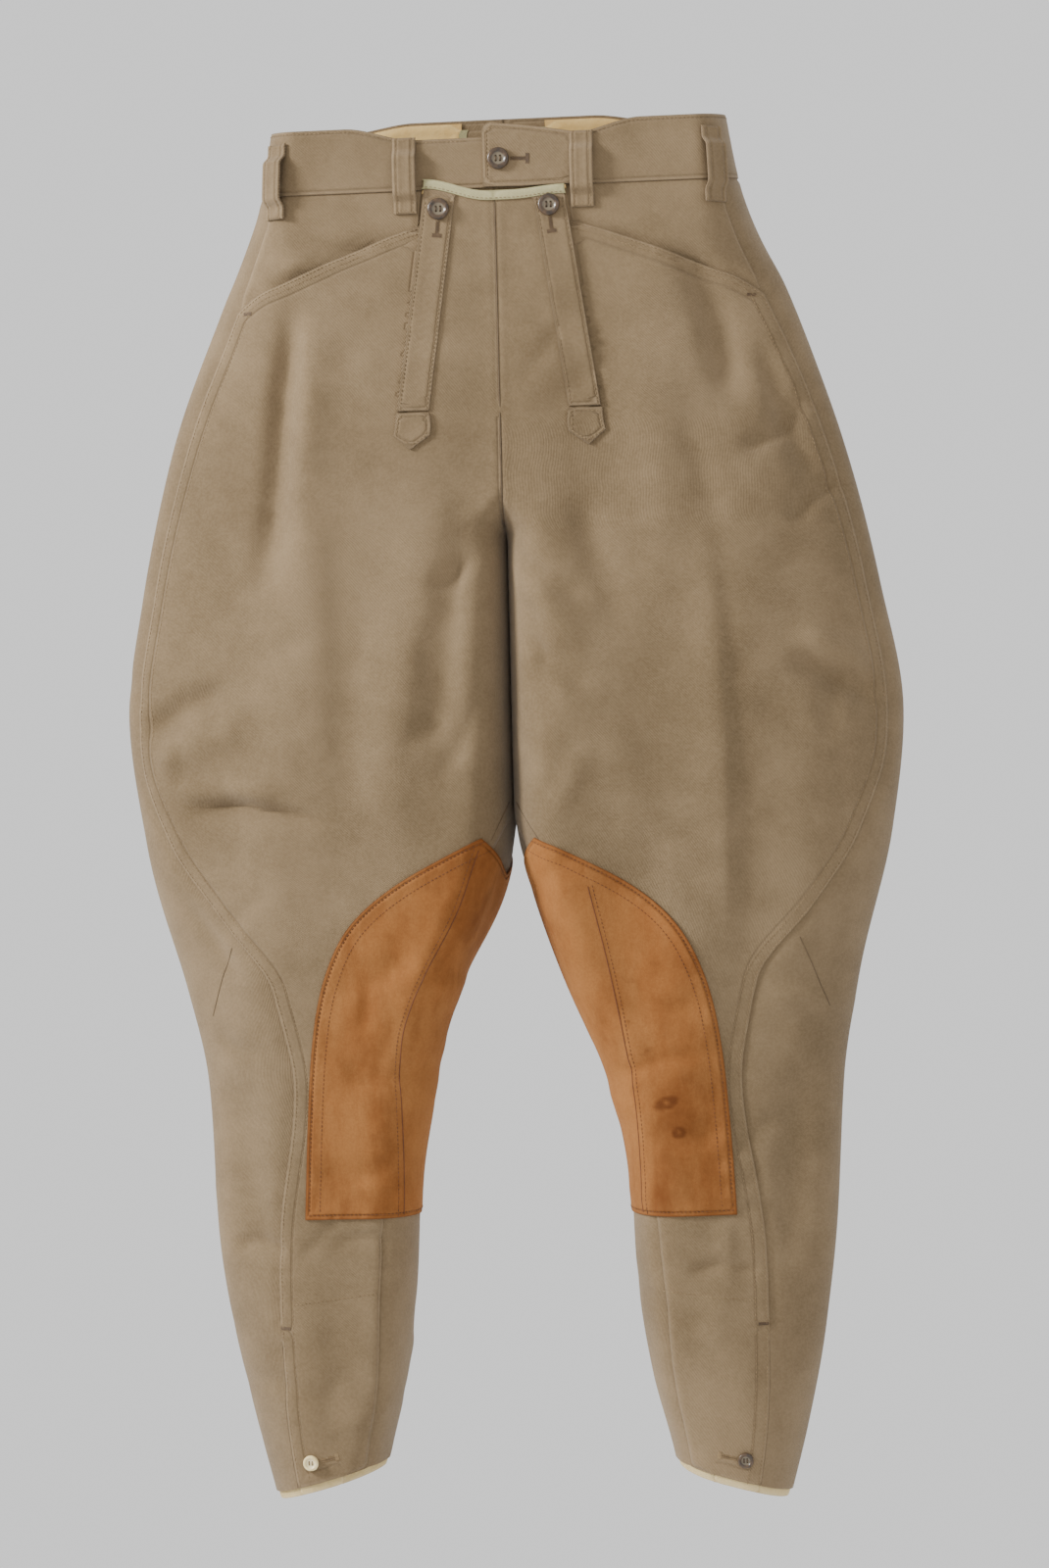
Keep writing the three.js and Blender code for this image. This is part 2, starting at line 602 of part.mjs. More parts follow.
// A strap sewn down at both ends and standing clear of the cloth between them.
function beltLoop(tau) {
  const half = LOOP_LENGTH / 2;
  const edge = (raise) => [
    [-half, raise], [-half + LOOP_END, raise], [-half + LOOP_END + LOOP_BEND, raise + LOOP_ROOM],
    [half - LOOP_END - LOOP_BEND, raise + LOOP_ROOM], [half - LOOP_END, raise], [half, raise],
  ];
  const outline = [...edge(LOOP_SEAT), ...edge(LOOP_SEAT + CLOTH).reverse()];
  const shape = new THREE.Shape(outline.map(([z, out]) => new THREE.Vector2(z, out)));
  const strap = new THREE.ExtrudeGeometry(shape, { depth: LOOP_WIDTH, bevelEnabled: false });
  // The shape's x becomes up, its y outwards, and the extrusion runs across the loop.
  strap.translate(0, 0, -LOOP_WIDTH / 2);
  strap.applyMatrix4(new THREE.Matrix4().set(0, 0, 1, 0, 1, 0, 0, 0, 0, 1, 0, 0, 0, 0, 0, 1));
  return place(solid(strap), tau, LOOP_TOP - half, over(0));
}

// ---------------------------------------------------------------- the assembly

const group = new THREE.Group();
group.name = "riding_breeches";
const material = (color, roughness) =>
  new THREE.MeshStandardMaterial({ color, roughness, metalness: 0 });
const CLOTH_LOOK = material(0x8f7f66, 0.92);
const SUEDE_LOOK = material(0xb2763c, 0.95);
const LINING_LOOK = material(0xe6d4a2, 0.9);
const TAPE_LOOK = material(0xc3bc97, 0.85);
const BUTTON_LOOK = material(0x3d2a1c, 0.35);
const PALE_BUTTON_LOOK = material(0xdcc893, 0.4);

function add(name, manifold, look) {
  const mesh = new THREE.Mesh(toGeometry(manifold), look);
  mesh.name = name;
  group.add(mesh);
}
function addPair(name, manifold, look, rightLook = look) {
  add(`${name}_left`, manifold, look);
  add(`${name}_right`, mirrored(manifold), rightLook);
}

const FRONT_NAMES = ["front_hip", "front_thigh", "front_shin"];
const BACK_NAMES = ["back_seat", "back_thigh", "back_knee", "back_calf"];
lengths(frontPanel(), FRONT_CUTS).forEach((part, i) => addPair(FRONT_NAMES[i], part, CLOTH_LOOK));
lengths(backPanel(), BACK_CUTS).forEach((part, i) => addPair(BACK_NAMES[i], part, CLOTH_LOOK));
addPair("pocket_yoke", pocketYoke(), CLOTH_LOOK);
addPair("pocket_bag", pocketBag(), LINING_LOOK);
addPair("bearer", bearer(), CLOTH_LOOK);
add("waistband_left", waistband(UNDERLAP_END + GAP), CLOTH_LOOK);
add("waistband_right", mirrored(waistband(-UNDERLAP_END)), CLOTH_LOOK);
add("waistband_tab", waistbandTab(), CLOTH_LOOK);
addPair("waistband_lining", waistbandLining(), LINING_LOOK);
addPair("back_outlet", backOutlet(), CLOTH_LOOK);
addPair("fall_flap", flapPanel(), CLOTH_LOOK);
addPair("flap_facing", flapFacing(), CLOTH_LOOK);
add("flap_binding", flapBinding(), TAPE_LOOK);
addPair("facing_point", facingPoint(), CLOTH_LOOK);
addPair("knee_strap", kneeStrap(), SUEDE_LOOK);
addPair("cuff_flap", cuffFlap(), CLOTH_LOOK);
addPair("cuff_flap_tape", cuffFlapTape(), TAPE_LOOK);
addPair("cuff_underlap", cuffUnderlap(), CLOTH_LOOK);
addPair("hem_tape", hemTape(), TAPE_LOOK);

const loopZ = LOOP_TOP - LOOP_LENGTH / 2;
addPair("belt_loop_front", beltLoop(tauAt(FRONT_LOOP_X, loopZ)), CLOTH_LOOK);
addPair("belt_loop_side", beltLoop(tauAt(SIDE_LOOP_X, loopZ)), CLOTH_LOOK);
addPair("belt_loop_back", beltLoop(6 - tauAt(BACK_LOOP_X, loopZ)), CLOTH_LOOK);

const tabFace = under(1) + TAB_THICK;
const waistSpot = { x: -WAIST_BUTTON.x, z: WAIST_BUTTON.z };
const waistButton = button(waistSpot, BIG_BUTTON, over(0), tabFace + GAP - over(0));
add("waist_button", mirrored(waistButton), BUTTON_LOOK);
const flapStand = over(2) + GAP - over(-1);
addPair("flap_button", button(FLAP_BUTTON, BIG_BUTTON, over(-1), flapStand), BUTTON_LOOK);
const cuffStand = over(0) + GAP - over(-1);
const cuffButton = button(CUFF_BUTTON, SMALL_BUTTON, over(-1), cuffStand);
addPair("cuff_button", cuffButton, BUTTON_LOOK, PALE_BUTTON_LOOK);

export default group;
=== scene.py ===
# Riding breeches with flared thighs, a buttoned fall front and suede knee strappings.
# Lengths are millimetres until a mesh is made. The front faces -Y, and left is the wearer's.
import math
import random

import bmesh
import bpy
import numpy as np
from mathutils import Matrix, Vector, geometry, kdtree


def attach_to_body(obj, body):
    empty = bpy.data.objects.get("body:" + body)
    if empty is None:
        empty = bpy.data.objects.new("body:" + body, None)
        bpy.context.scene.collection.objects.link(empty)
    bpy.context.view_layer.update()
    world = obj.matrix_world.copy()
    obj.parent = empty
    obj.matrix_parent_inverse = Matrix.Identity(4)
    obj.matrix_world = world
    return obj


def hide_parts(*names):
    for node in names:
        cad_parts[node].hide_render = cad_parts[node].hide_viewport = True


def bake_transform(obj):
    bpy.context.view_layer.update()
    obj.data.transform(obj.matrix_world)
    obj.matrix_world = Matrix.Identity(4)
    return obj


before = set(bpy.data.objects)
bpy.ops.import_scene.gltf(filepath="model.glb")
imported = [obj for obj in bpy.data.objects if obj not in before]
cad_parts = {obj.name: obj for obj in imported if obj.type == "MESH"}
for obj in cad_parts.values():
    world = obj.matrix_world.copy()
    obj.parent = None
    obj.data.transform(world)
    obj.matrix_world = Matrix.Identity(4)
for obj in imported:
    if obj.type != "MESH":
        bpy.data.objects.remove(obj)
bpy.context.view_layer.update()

MM = 0.001

# ---------------------------------------------------------------- sizes, as in the CAD part

CLOTH = 1.2
STEP = 1.5  # from the middle of one layer of cloth to the middle of the next
WAIST_DEPTH = 38
BAND_HEIGHT = 44
BAND_SLOPE = 10 / (2 * WAIST_DEPTH)  # the waistband stands 10 higher at the centre back
CROTCH_Z = -285
HEM_Z = -934
HEM_SLOPE = 0.27
CUFF_MIDDLE_X = 143
FLAP_TOP = -44.6
FLAP_HEIGHT = 152
FOLD_Z = FLAP_TOP - FLAP_HEIGHT
FLAP_HALF_TOP = 48
FLAP_HALF_FOLD = 70
FLAP_LAP = 8
STRIP_WIDTH = 22
BINDING_HEIGHT = 6
POINT_LENGTH = 26
POINT_SHOULDER = 16
TAB_START = -7
TAB_END = 50
UNDERLAP_END = 38
BIG_BUTTON = 15.2
SMALL_BUTTON = 11
WAIST_BUTTON = (4, -25)
FLAP_BUTTON = (38, -58)
CUFF_BUTTON = (150, -920)
LOOP_WIDTH = 16
LOOP_TOP = -8
LOOP_LENGTH = 52
LOOP_ROOM = 7
YOKE_BOTTOM = -150
POCKET = (75, 150, -280, -64)
OUTLET_WIDTH = 31
OUTLET_BOTTOM = -150
LINING_FRONT_X = 52
SLIT_TOP = HEM_Z + 106
CUFF_FLAP_WIDTH = 32
UNDERLAP_WIDTH = 20
TAPE_SHOW = 5.5
TAPE_HEIGHT = 14
STRAP_BOTTOM = -751
STRAP_NOTCH = -516
INSEAM_TOP = -470

OUTER = [
    (16, 156), (-48, 168), (-116, 198), (-218, 234), (-320, 258), (-405, 271), (-490, 261),
    (-592, 235), (-660, 222), (-762, 216), (-830, 207), (-898, 193), (-964, 176),
]
INNER = [
    (16, -80), (-200, -80), (-250, -30), (-285, 1.6), (-470, 1.6), (-500, 5), (-524, 11),
    (-592, 36), (-660, 60), (-728, 74), (-796, 78), (-864, 87), (-918, 100), (-964, 109),
]
FLAT_END = [
    (16, 134), (-48, 140), (-120, 134), (-200, 124), (-320, 110), (-405, 100), (-592, 112),
    (-660, 122), (-762, 134), (-864, 142), (-964, 146),
]
INNER_ROUND = [(16, 35), (-285, 32), (-495, 28), (-592, 34), (-762, 32), (-964, 26)]
FRONT_DEPTH = [
    (16, 38), (-60, 38), (-200, 41), (-300, 48), (-420, 54), (-520, 52), (-600, 46),
    (-700, 40), (-800, 38), (-880, 34), (-964, 30),
]
BACK_DEPTH = [
    (16, 38), (-60, 42), (-160, 60), (-300, 68), (-420, 66), (-520, 56), (-600, 48),
    (-700, 52), (-780, 54), (-880, 42), (-964, 33),
]
OUTSEAM_IN = [
    (16, 12), (-48, 14), (-116, 17), (-200, 13), (-320, 10), (-430, 10), (-490, 22),
    (-540, 43), (-592, 68), (-640, 68), (-762, 48), (-830, 38), (-898, 27), (-964, 20),
]
INSEAM_OUT = [(-470, 0), (-524, 13), (-592, 22), (-694, 18), (-796, 20), (-864, 15), (-964, 8)]
POCKET_MOUTH = [(20, -62), (57, -70), (92, -82), (145, -103), (172, -114), (215, -146)]
STRAP_FRONT = [
    (20, -490), (46, -503), (74, -518), (98, -535), (115, -553), (127, -575), (136, -603),
    (142, -640), (146, -690), (149, -751),
]
STRAP_BACK = [(14, -497), (45, -517), (72, -543), (90, -577), (101, -625), (107, -685), (110, -751)]


# ---------------------------------------------------------------- the surface of one side


def profile(stations):
    """A smooth curve through (z, value) stations that never overshoots them."""
    z, value = np.array(sorted(stations), float).T
    slope = np.diff(value) / np.diff(z)
    tangent = np.concatenate([slope[:1], np.zeros(len(z) - 2), slope[-1:]])
    before, after = slope[:-1], slope[1:]
    same = before * after > 0
    total = np.where(same, before + after, 1)
    tangent[1:-1] = np.where(same, 2 * before * after / total, 0)

    def at(height):
        height = np.clip(height, z[0], z[-1])
        i = np.clip(np.searchsorted(z, height, side="right") - 1, 0, len(z) - 2)
        span = z[i + 1] - z[i]
        t = (height - z[i]) / span
        return (
            (2 * t**3 - 3 * t**2 + 1) * value[i]
            + (t**3 - 2 * t**2 + t) * span * tangent[i]
            + (3 * t**2 - 2 * t**3) * value[i + 1]
            + (t**3 - t**2) * span * tangent[i + 1]
        )

    return at


outer, inner, flat_end = profile(OUTER), profile(INNER), profile(FLAT_END)
inner_round, front_depth, back_depth = profile(INNER_ROUND), profile(FRONT_DEPTH), profile(BACK_DEPTH)
outseam_in, inseam_out = profile(OUTSEAM_IN), profile(INSEAM_OUT)


def outseam_x(z):
    return outer(z) - outseam_in(z)


def inseam_x(z):
    return inner(z) + inseam_out(z)


def flap_edge(z):
    return FLAP_HALF_TOP + (FLAP_HALF_FOLD - FLAP_HALF_TOP) * (FLAP_TOP - z) / FLAP_HEIGHT


def cuff_fold(z):
    top, bottom = outseam_x(SLIT_TOP) - CUFF_FLAP_WIDTH, outseam_x(HEM_Z) - CUFF_FLAP_WIDTH
    return bottom + (top - bottom) * (z - HEM_Z) / (SLIT_TOP - HEM_Z)


def hem_z(x):
    return HEM_Z - HEM_SLOPE * (x - CUFF_MIDDLE_X)


def smooth(t):
    t = np.clip(t, 0, 1)
    return t * t * (3 - 2 * t)


def surface(tau, z):
    """A point on the middle of the left side's cloth. tau runs round the leg: 0 is the inner
    point, 1 to 2 the flat of the front, 3 the outer point, 4 to 5 the flat of the back."""
    turn = np.mod(tau, 6.0)
    t = np.where(turn <= 3, turn, 6 - turn)
    start, end = inner(z) + inner_round(z), flat_end(z)
    inside, outside = t * math.pi / 2, (t - 2) * math.pi / 2
    x = np.where(t < 1, start - inner_round(z) * np.cos(inside), start + (end - start) * (t - 1))
    x = np.where(t > 2, end + (outer(z) - end) * np.sin(outside), x)
    share = np.where(t < 1, np.sin(inside), np.where(t > 2, np.cos(outside), 1.0))
    y = np.where(turn <= 3, -front_depth(z) * share, back_depth(z) * share)
    return np.stack([x, y, z + 0 * x], -1)


def normal(tau, z):
    along = surface(tau + 0.01, z) - surface(tau - 0.01, z)
    up = surface(tau, z + 1) - surface(tau, z - 1)
    out = np.cross(along, up)
    return out / np.linalg.norm(out, axis=-1, keepdims=True)


def tau_at(x, z):
    """tau where the front reaches x."""
    x, z = np.asarray(x, float), np.asarray(z, float)
    start, end = inner(z) + inner_round(z), flat_end(z)
    low = np.arccos(np.clip((start - x) / inner_round(z), -1, 1)) * 2 / math.pi
    high = 2 + np.arcsin(np.clip((x - end) / (outer(z) - end), -1, 1)) * 2 / math.pi
    middle = 1 + (x - start) / (end - start)
    return np.where(x < start, low, np.where(x <= end, middle, high))


# Lengths of cloth round the leg, for a plane on which the pieces are filled with points.
AROUND = [0, 62, 124, 274, 424, 486, 548]
WHOLE = AROUND[-1]
KNOTS = np.arange(-6, 13)
LENGTHS = np.concatenate([np.array(AROUND[:-1]) + WHOLE * turn for turn in (-1, 0, 1)] + [[2 * WHOLE]])


def unroll(tau):
    return np.interp(tau, KNOTS, LENGTHS)


def roll(s):
    return np.interp(s, LENGTHS, KNOTS)


# True lengths round the leg at each height, for the weave.
TABLE_STEP = 5.0
TABLE_Z = np.arange(-975, 25, TABLE_STEP)
TABLE_TAU = np.linspace(-1, 8, 361)
ring = surface(TABLE_TAU[None, :], TABLE_Z[:, None])
TABLE = np.cumsum(np.linalg.norm(np.diff(ring, axis=1, prepend=ring[:, :1]), axis=-1), axis=1)


def girth(tau, z):
    column = np.clip((tau - TABLE_TAU[0]) / (TABLE_TAU[1] - TABLE_TAU[0]), 0, len(TABLE_TAU) - 1.001)
    row = np.clip((z - TABLE_Z[0]) / TABLE_STEP, 0, len(TABLE_Z) - 1.001)
    c, r = column.astype(int), row.astype(int)
    fc, fr = column - c, row - r
    low = TABLE[r, c] * (1 - fc) + TABLE[r, c + 1] * fc
    high = TABLE[r + 1, c] * (1 - fc) + TABLE[r + 1, c + 1] * fc
    return low * (1 - fr) + high * fr


# ---------------------------------------------------------------- folds and creases

# Each fold is a line of (x, z) on the front or the back, with its height and the widths on its
# two sides. x is the wearer's left, so it runs from the viewer's left to right on the front.
FRONT_FOLDS = [
    ([(-138, -100), (-152, -193), (-159, -260), (-170, -330)], -4.6, 15, 9),
    ([(-126, -113), (-134, -194), (-141, -262)], 2.4, 12, 10),
    ([(-121, -235), (-113, -316), (-111, -424), (-106, -491)], -1.6, 16, 12),
    ([(-232, -466), (-189, -464), (-148, -470), (-120, -480)], -3.4, 4, 8),
    ([(-236, -454), (-189, -452), (-150, -458)], 2.4, 9, 7),
    ([(-262, -416), (-221, -391), (-187, -381)], -3.2, 8, 12),
    ([(-250, -436), (-215, -420), (-180, -414)], 1.8, 10, 10),
    ([(120, -70), (138, -110), (149, -144), (161, -205)], -3.6, 14, 10),
    ([(138, -250), (141, -297), (147, -390), (150, -457), (149, -600)], 2.2, 5, 16),
    ([(142, -749), (144, -803)], 1.0, 4, 8),
    ([(191, -368), (224, -384), (260, -403)], -3.0, 7, 10),
    ([(196, -352), (226, -366), (252, -382)], 1.8, 9, 8),
    ([(54, -241), (63, -295), (85, -362)], -2.2, 14, 12),
    ([(-3, -239), (-28, -292), (-45, -372), (-52, -452)], -3.0, 13, 15),
    ([(7, -293), (21, -347), (31, -427)], -2.6, 10, 13),
    ([(-2, -280), (-28, -305), (-55, -322)], -2.0, 5, 7),
    ([(2, -288), (32, -314), (66, -330)], -2.4, 5, 7),
    ([(6, -343), (31, -368), (64, -392)], -2.2, 5, 8),
    ([(-9, -380), (-31, -426), (-52, -456)], -1.6, 6, 8),
    ([(3, -310), (30, -334), (60, -360)], 1.4, 7, 7),
    ([(-146, -77), (-110, -79), (-72, -85)], -1.8, 4, 6),
    ([(-150, -92), (-118, -94), (-90, -99)], 1.2, 6, 6),
    ([(-206, -770), (-182, -766), (-160, -775)], -1.8, 4, 6),
    ([(-138, -768), (-101, -763), (-78, -773)], -1.5, 4, 6),
    ([(110, -790), (138, -784), (166, -792)], -1.6, 4, 6),
    ([(177, -146), (195, -206), (217, -262)], -2.2, 7, 9),
    ([(213, -190), (188, -219), (160, -232)], -2.6, 6, 9),
    ([(236, -250), (212, -262), (196, -282)], -2.0, 5, 8),
    ([(-232, -300), (-200, -312), (-176, -330)], -1.2, 10, 12),
    ([(-90, -120), (-84, -200), (-92, -300)], 1.6, 22, 18),
    ([(100, -150), (112, -260), (118, -360)], 1.8, 20, 16),
    ([(-60, -330), (-78, -420), (-80, -500)], 2.2, 18, 22),
    ([(70, -400), (88, -460), (96, -520)], 1.8, 18, 18),
    ([(-190, -640), (-186, -720), (-176, -800)], -1.8, 12, 16),
    ([(196, -640), (190, -720), (182, -800)], -1.8, 12, 14),
    ([(-60, -560), (-90, -585), (-130, -590)], -1.4, 9, 12),
    ([(-48, -640), (-84, -655), (-124, -650)], -1.6, 8, 10),
    ([(70, -600), (100, -612), (136, -606)], -1.4, 8, 10),
    ([(86, -690), (112, -700), (144, -694)], -1.5, 8, 9),
    ([(-82, -716), (-112, -722), (-142, -716)], -1.3, 7, 9),
    ([(-128, -850), (-136, -890), (-132, -925)], -1.2, 8, 10),
    ([(112, -850), (118, -890), (124, -925)], -1.2, 8, 10),
]
BACK_FOLDS = [
    ([(0, -240), (40, -296), (92, -330)], -3.0, 9, 12),
    ([(0, -250), (-44, -300), (-96, -338)], -3.0, 9, 12),
    ([(4, -300), (44, -350), (84, -392)], -2.4, 8, 12),
    ([(-4, -304), (-40, -356), (-80, -400)], -2.4, 8, 12),
    ([(130, -110), (150, -220), (158, -330)], -3.4, 14, 18),
    ([(-130, -110), (-146, -220), (-160, -340)], -3.2, 14, 18),
    ([(70, -80), (76, -170), (60, -250)], 1.8, 22, 22),
    ([(-70, -80), (-78, -170), (-62, -250)], 1.8, 22, 22),
    ([(232, -470), (184, -480), (132, -466)], -2.8, 6, 11),
    ([(-236, -462), (-180, -474), (-128, -462)], -2.8, 6, 11),
    ([(60, -610), (100, -622), (150, -612)], -3.0, 6, 10),
    ([(-60, -606), (-104, -620), (-152, -610)], -3.0, 6, 10),
    ([(76, -650), (120, -664), (176, -650)], -2.6, 6, 10),
    ([(-76, -648), (-122, -662), (-178, -650)], -2.6, 6, 10),
    ([(80, -700), (120, -706), (160, -698)], -1.8, 6, 9),
    ([(-80, -702), (-120, -708), (-160, -700)], -1.8, 6, 9),
    ([(120, -400), (128, -500), (124, -590)], 2.0, 12, 18),
    ([(-120, -400), (-128, -500), (-124, -590)], 2.0, 12, 18),
]
FOLD_STRENGTH = 2.0
THIGHS_PART_Z = -522  # below here the two legs hang apart
KNEE_Z = -596
KNEE_OUT = 6.5  # how far the right knee stands out


def random_wrinkles(seed, count):
    """Small seeded wrinkles all over one side of the breeches."""
    draw = random.Random(seed)
    wrinkles = []
    for _ in range(count):
        z = draw.uniform(-120, -900)
        reach = float(outer(z)) - 12
        x = draw.uniform(float(inner(z)) if z < CROTCH_Z else 0, reach) * draw.choice((-1, 1))
        angle, length = draw.uniform(-0.9, 0.9), draw.uniform(16, 46)
        if draw.random() < 0.4:
            angle += math.pi / 2
        dx, dz = length * math.cos(angle), length * math.sin(angle)
        bend = draw.uniform(-5, 5)
        line = [(x - dx, z - dz), (x + bend, z + bend), (x + dx, z + dz)]
        height = draw.uniform(0.4, 1.1) * draw.choice((-1, -1, 1))
        wrinkles.append((line, height, draw.uniform(4, 9), draw.uniform(5, 11)))
    return wrinkles


def sum_folds(folds, x, z):
    """Height of the cloth over its plain surface, from a list of folds."""
    total = np.zeros_like(x)
    for line, height, before, after in folds:
        points = np.array(line, float)
        steps = np.linalg.norm(np.diff(points, axis=0), axis=1)
        reached = np.concatenate([[0], np.cumsum(steps)])
        margin = 3 * max(before, after)
        low, high = points.min(0) - margin, points.max(0) + margin
        near = np.nonzero((x > low[0]) & (x < high[0]) & (z > low[1]) & (z < high[1]))[0]
        if not len(near):
            continue
        px, pz = x[near], z[near]
        best = np.full(len(near), 1e9)
        share, side = np.zeros(len(near)), np.zeros(len(near))
        for i, step in enumerate(steps):
            ax, az = points[i]
            dx, dz = (points[i + 1] - points[i]) / step
            t = np.clip((px - ax) * dx + (pz - az) * dz, 0, step)
            gap = np.hypot(px - ax - t * dx, pz - az - t * dz)
            closer = gap < best
            best = np.where(closer, gap, best)
            share = np.where(closer, (reached[i] + t) / reached[-1], share)
            side = np.where(closer, np.sign(dx * (pz - az) - dz * (px - ax)), side)
        width = np.where(side > 0, before, after)
        taper = smooth(share / 0.28) * smooth((1 - share) / 0.28)
        total[near] += height * taper * np.exp(-((best / width) ** 2))
    return total


def slow_waves(seed):
    """Large, shallow unevenness of the hanging cloth."""
    draw = random.Random(seed)
    waves = []
    for _ in range(9):
        angle = draw.uniform(-0.5, 0.5)
        length = draw.uniform(70, 190)
        waves.append((math.cos(angle) / length, math.sin(angle) / length * 0.6, draw.uniform(0, 6.3)))
    return lambda x, z: sum(np.sin(2 * math.pi * (a * x + b * z) + c) for a, b, c in waves) * 0.36


FRONT_ALL = FRONT_FOLDS + random_wrinkles(4, 60)
BACK_ALL = BACK_FOLDS + random_wrinkles(9, 60)
front_waves, back_waves = slow_waves(21), slow_waves(22)


def relief(x, z, frontness):
    """How far the cloth stands off its plain surface; frontness is -1 at the back, 1 in front."""
    ahead = smooth((frontness + 0.35) / 0.7)
    front = sum_folds(FRONT_ALL, x, z) + front_waves(x, z)
    back = sum_folds(BACK_ALL, x, z) + back_waves(x, z)
    height = FOLD_STRENGTH * (front * ahead + back * (1 - ahead))
    height *= smooth((-52 - z) / 50) * (0.45 + 0.55 * smooth((z + 900) / 80))
    return height


def closed(z):
    """1 where the two thighs hang against each other."""
    return smooth((CROTCH_Z + 20 - z) / 20) * smooth((z - THIGHS_PART_Z) / 46)


def inner_shift(side, x, z):
    """The hanging thighs close on each other, and the right knee stands a little outwards."""
    near = smooth(1 - (x - inner(z)) / 60)
    together = -closed(z) * np.clip(x - 0.05, 0, 1.6)
    knee = KNEE_OUT * np.exp(-(((z - KNEE_Z) / 52) ** 2)) if side < 0 else 0 * z
    return near * (together + knee)


def lay(side, tau, z, offset):
    """Places points of one side at an offset from the middle of its cloth."""
    tau, z = np.asarray(tau, float), np.asarray(z, float)
    spot, out = surface(tau, z), normal(tau, z)
    depth = np.where(spot[:, 1] < 0, front_depth(z), back_depth(z))
    folds = relief(spot[:, 0] * side, z, -spot[:, 1] / depth)
    between_legs = smooth(1 - (spot[:, 0] - np.maximum(inner(z), 0)) / 34)
    lift = offset + folds * (1 - between_legs * smooth((-210 - z) / 45) * smooth((z - THIGHS_PART_Z) / 46))
    spot = spot + out * lift[:, None]
    spot[:, 0] += inner_shift(side, spot[:, 0], z)
    spot[:, 0] *= side
    return spot


# ---------------------------------------------------------------- pieces of cloth

SIDES = {"left": 1, "right": -1}


def run(edge, z0, z1, spacing=4.0, back=False):
    """An edge given as x for each height, from z0 to z1, as (tau, z) points."""
    count = max(2, int(abs(z1 - z0) / spacing) + 1)
    z = np.linspace(z0, z1, count)
    tau = tau_at(edge(z) + 0 * z, z)
    return np.stack([6 - tau if back else tau, z], 1)


def across(x0, x1, z, spacing=4.0, back=False):
    """An edge across the front or the back, where z may be a function of x."""
    x = np.linspace(x0, x1, max(2, int(abs(x1 - x0) / spacing) + 1))
    height = z(x) if callable(z) else z + 0 * x
    tau = tau_at(x, height)
    return np.stack([6 - tau if back else tau, height], 1)


def on_front(points):
    """(x, z) points on the front as (tau, z)."""
    points = np.asarray(points, float)
    return np.stack([tau_at(points[:, 0], points[:, 1]), points[:, 1]], 1)


def through(points, count=40):
    """A smooth line through (x, z) points on the front, as (x, z)."""
    p = np.array(points, float)
    p = np.vstack([2 * p[0] - p[1], p, 2 * p[-1] - p[-2]])
    out = []
    for t in np.linspace(0, len(p) - 3 - 1e-9, count):
        i, f = int(t), t - int(t)
        a, b, c, d = p[i : i + 4]
        square, cube = 2 * a - 5 * b + 4 * c - d, 3 * b - a - 3 * c + d
        out.append(0.5 * (2 * b + (c - a) * f + square * f**2 + cube * f**3))
    return np.array(out)


def inside(points, loop):
    """Which points lie inside a closed loop."""
    hit = np.zeros(len(points), bool)
    for (ax, az), (bx, bz) in zip(loop, np.roll(loop, -1, axis=0)):
        if az == bz:
            continue
        between = (points[:, 1] > az) != (points[:, 1] > bz)
        hit ^= between & (points[:, 0] < (bx - ax) * (points[:, 1] - az) / (bz - az) + ax)
    return hit


def tree_of(points):
    tree = kdtree.KDTree(len(points))
    for i, p in enumerate(points):
        tree.insert((*p, 0.0)[:3], i)
    tree.balance()
    return tree


def fill(outline, spacing):
    """Fills an outline of (tau, z) points with small triangles; returns tau, z, faces and rim."""
    loop = np.stack([unroll(outline[:, 0]), outline[:, 1]], 1)
    edge = []
    for a, b in zip(loop, np.roll(loop, -1, axis=0)):
        length = np.linalg.norm(b - a)
        if length < 1e-3:
            continue
        count = max(1, int(round(length / spacing)))
        edge.extend(a + (b - a) * i / count for i in range(count))
    edge = np.array(edge)
    low, high = edge.min(0), edge.max(0)
    rows = np.arange(low[1] + spacing / 2, high[1], spacing * 0.866)
    grid = []
    for i, z in enumerate(rows):
        s = np.arange(low[0] + spacing * (0.5 + 0.5 * (i % 2)), high[0], spacing)
        grid.append(np.stack([s, z + 0 * s], 1))
    grid = np.vstack(grid) if grid else np.zeros((0, 2))
    grid = grid[inside(grid, edge)]
    tree = tree_of(edge)
    grid = np.array([p for p in grid if tree.find((p[0], p[1], 0))[2] > 0.6 * spacing]).reshape(-1, 2)
    points = [Vector(p) for p in np.vstack([edge, grid])]
    loops = [(i, (i + 1) % len(edge)) for i in range(len(edge))]
    found = geometry.delaunay_2d_cdt(points, loops, [], 1, 1e-4)
    flat = np.array([tuple(p) for p in found[0]])
    faces = [tuple(f) for f in found[2]]
    directed = {(f[i], f[(i + 1) % len(f)]) for f in faces for i in range(len(f))}
    rim = [(a, b) for a, b in directed if (b, a) not in directed]
    return roll(flat[:, 0]), flat[:, 1], faces, sorted(rim)


def set_floats(mesh, name, values):
    mesh.attributes.new(name, "FLOAT", "POINT").data.foreach_set("value", np.asarray(values, np.float32))


def add_object(name, data):
    obj = bpy.data.objects.new(name, data)
    bpy.context.scene.collection.objects.link(obj)
    return obj


def link(name, mesh, material):
    mesh.materials.append(material)
    return add_object(name, mesh)


def value_at(offset, tau, z, edge):
    """An offset that is a number, or a function of tau, z and the distance from the edge."""
    return offset(tau, z, edge) if callable(offset) else offset


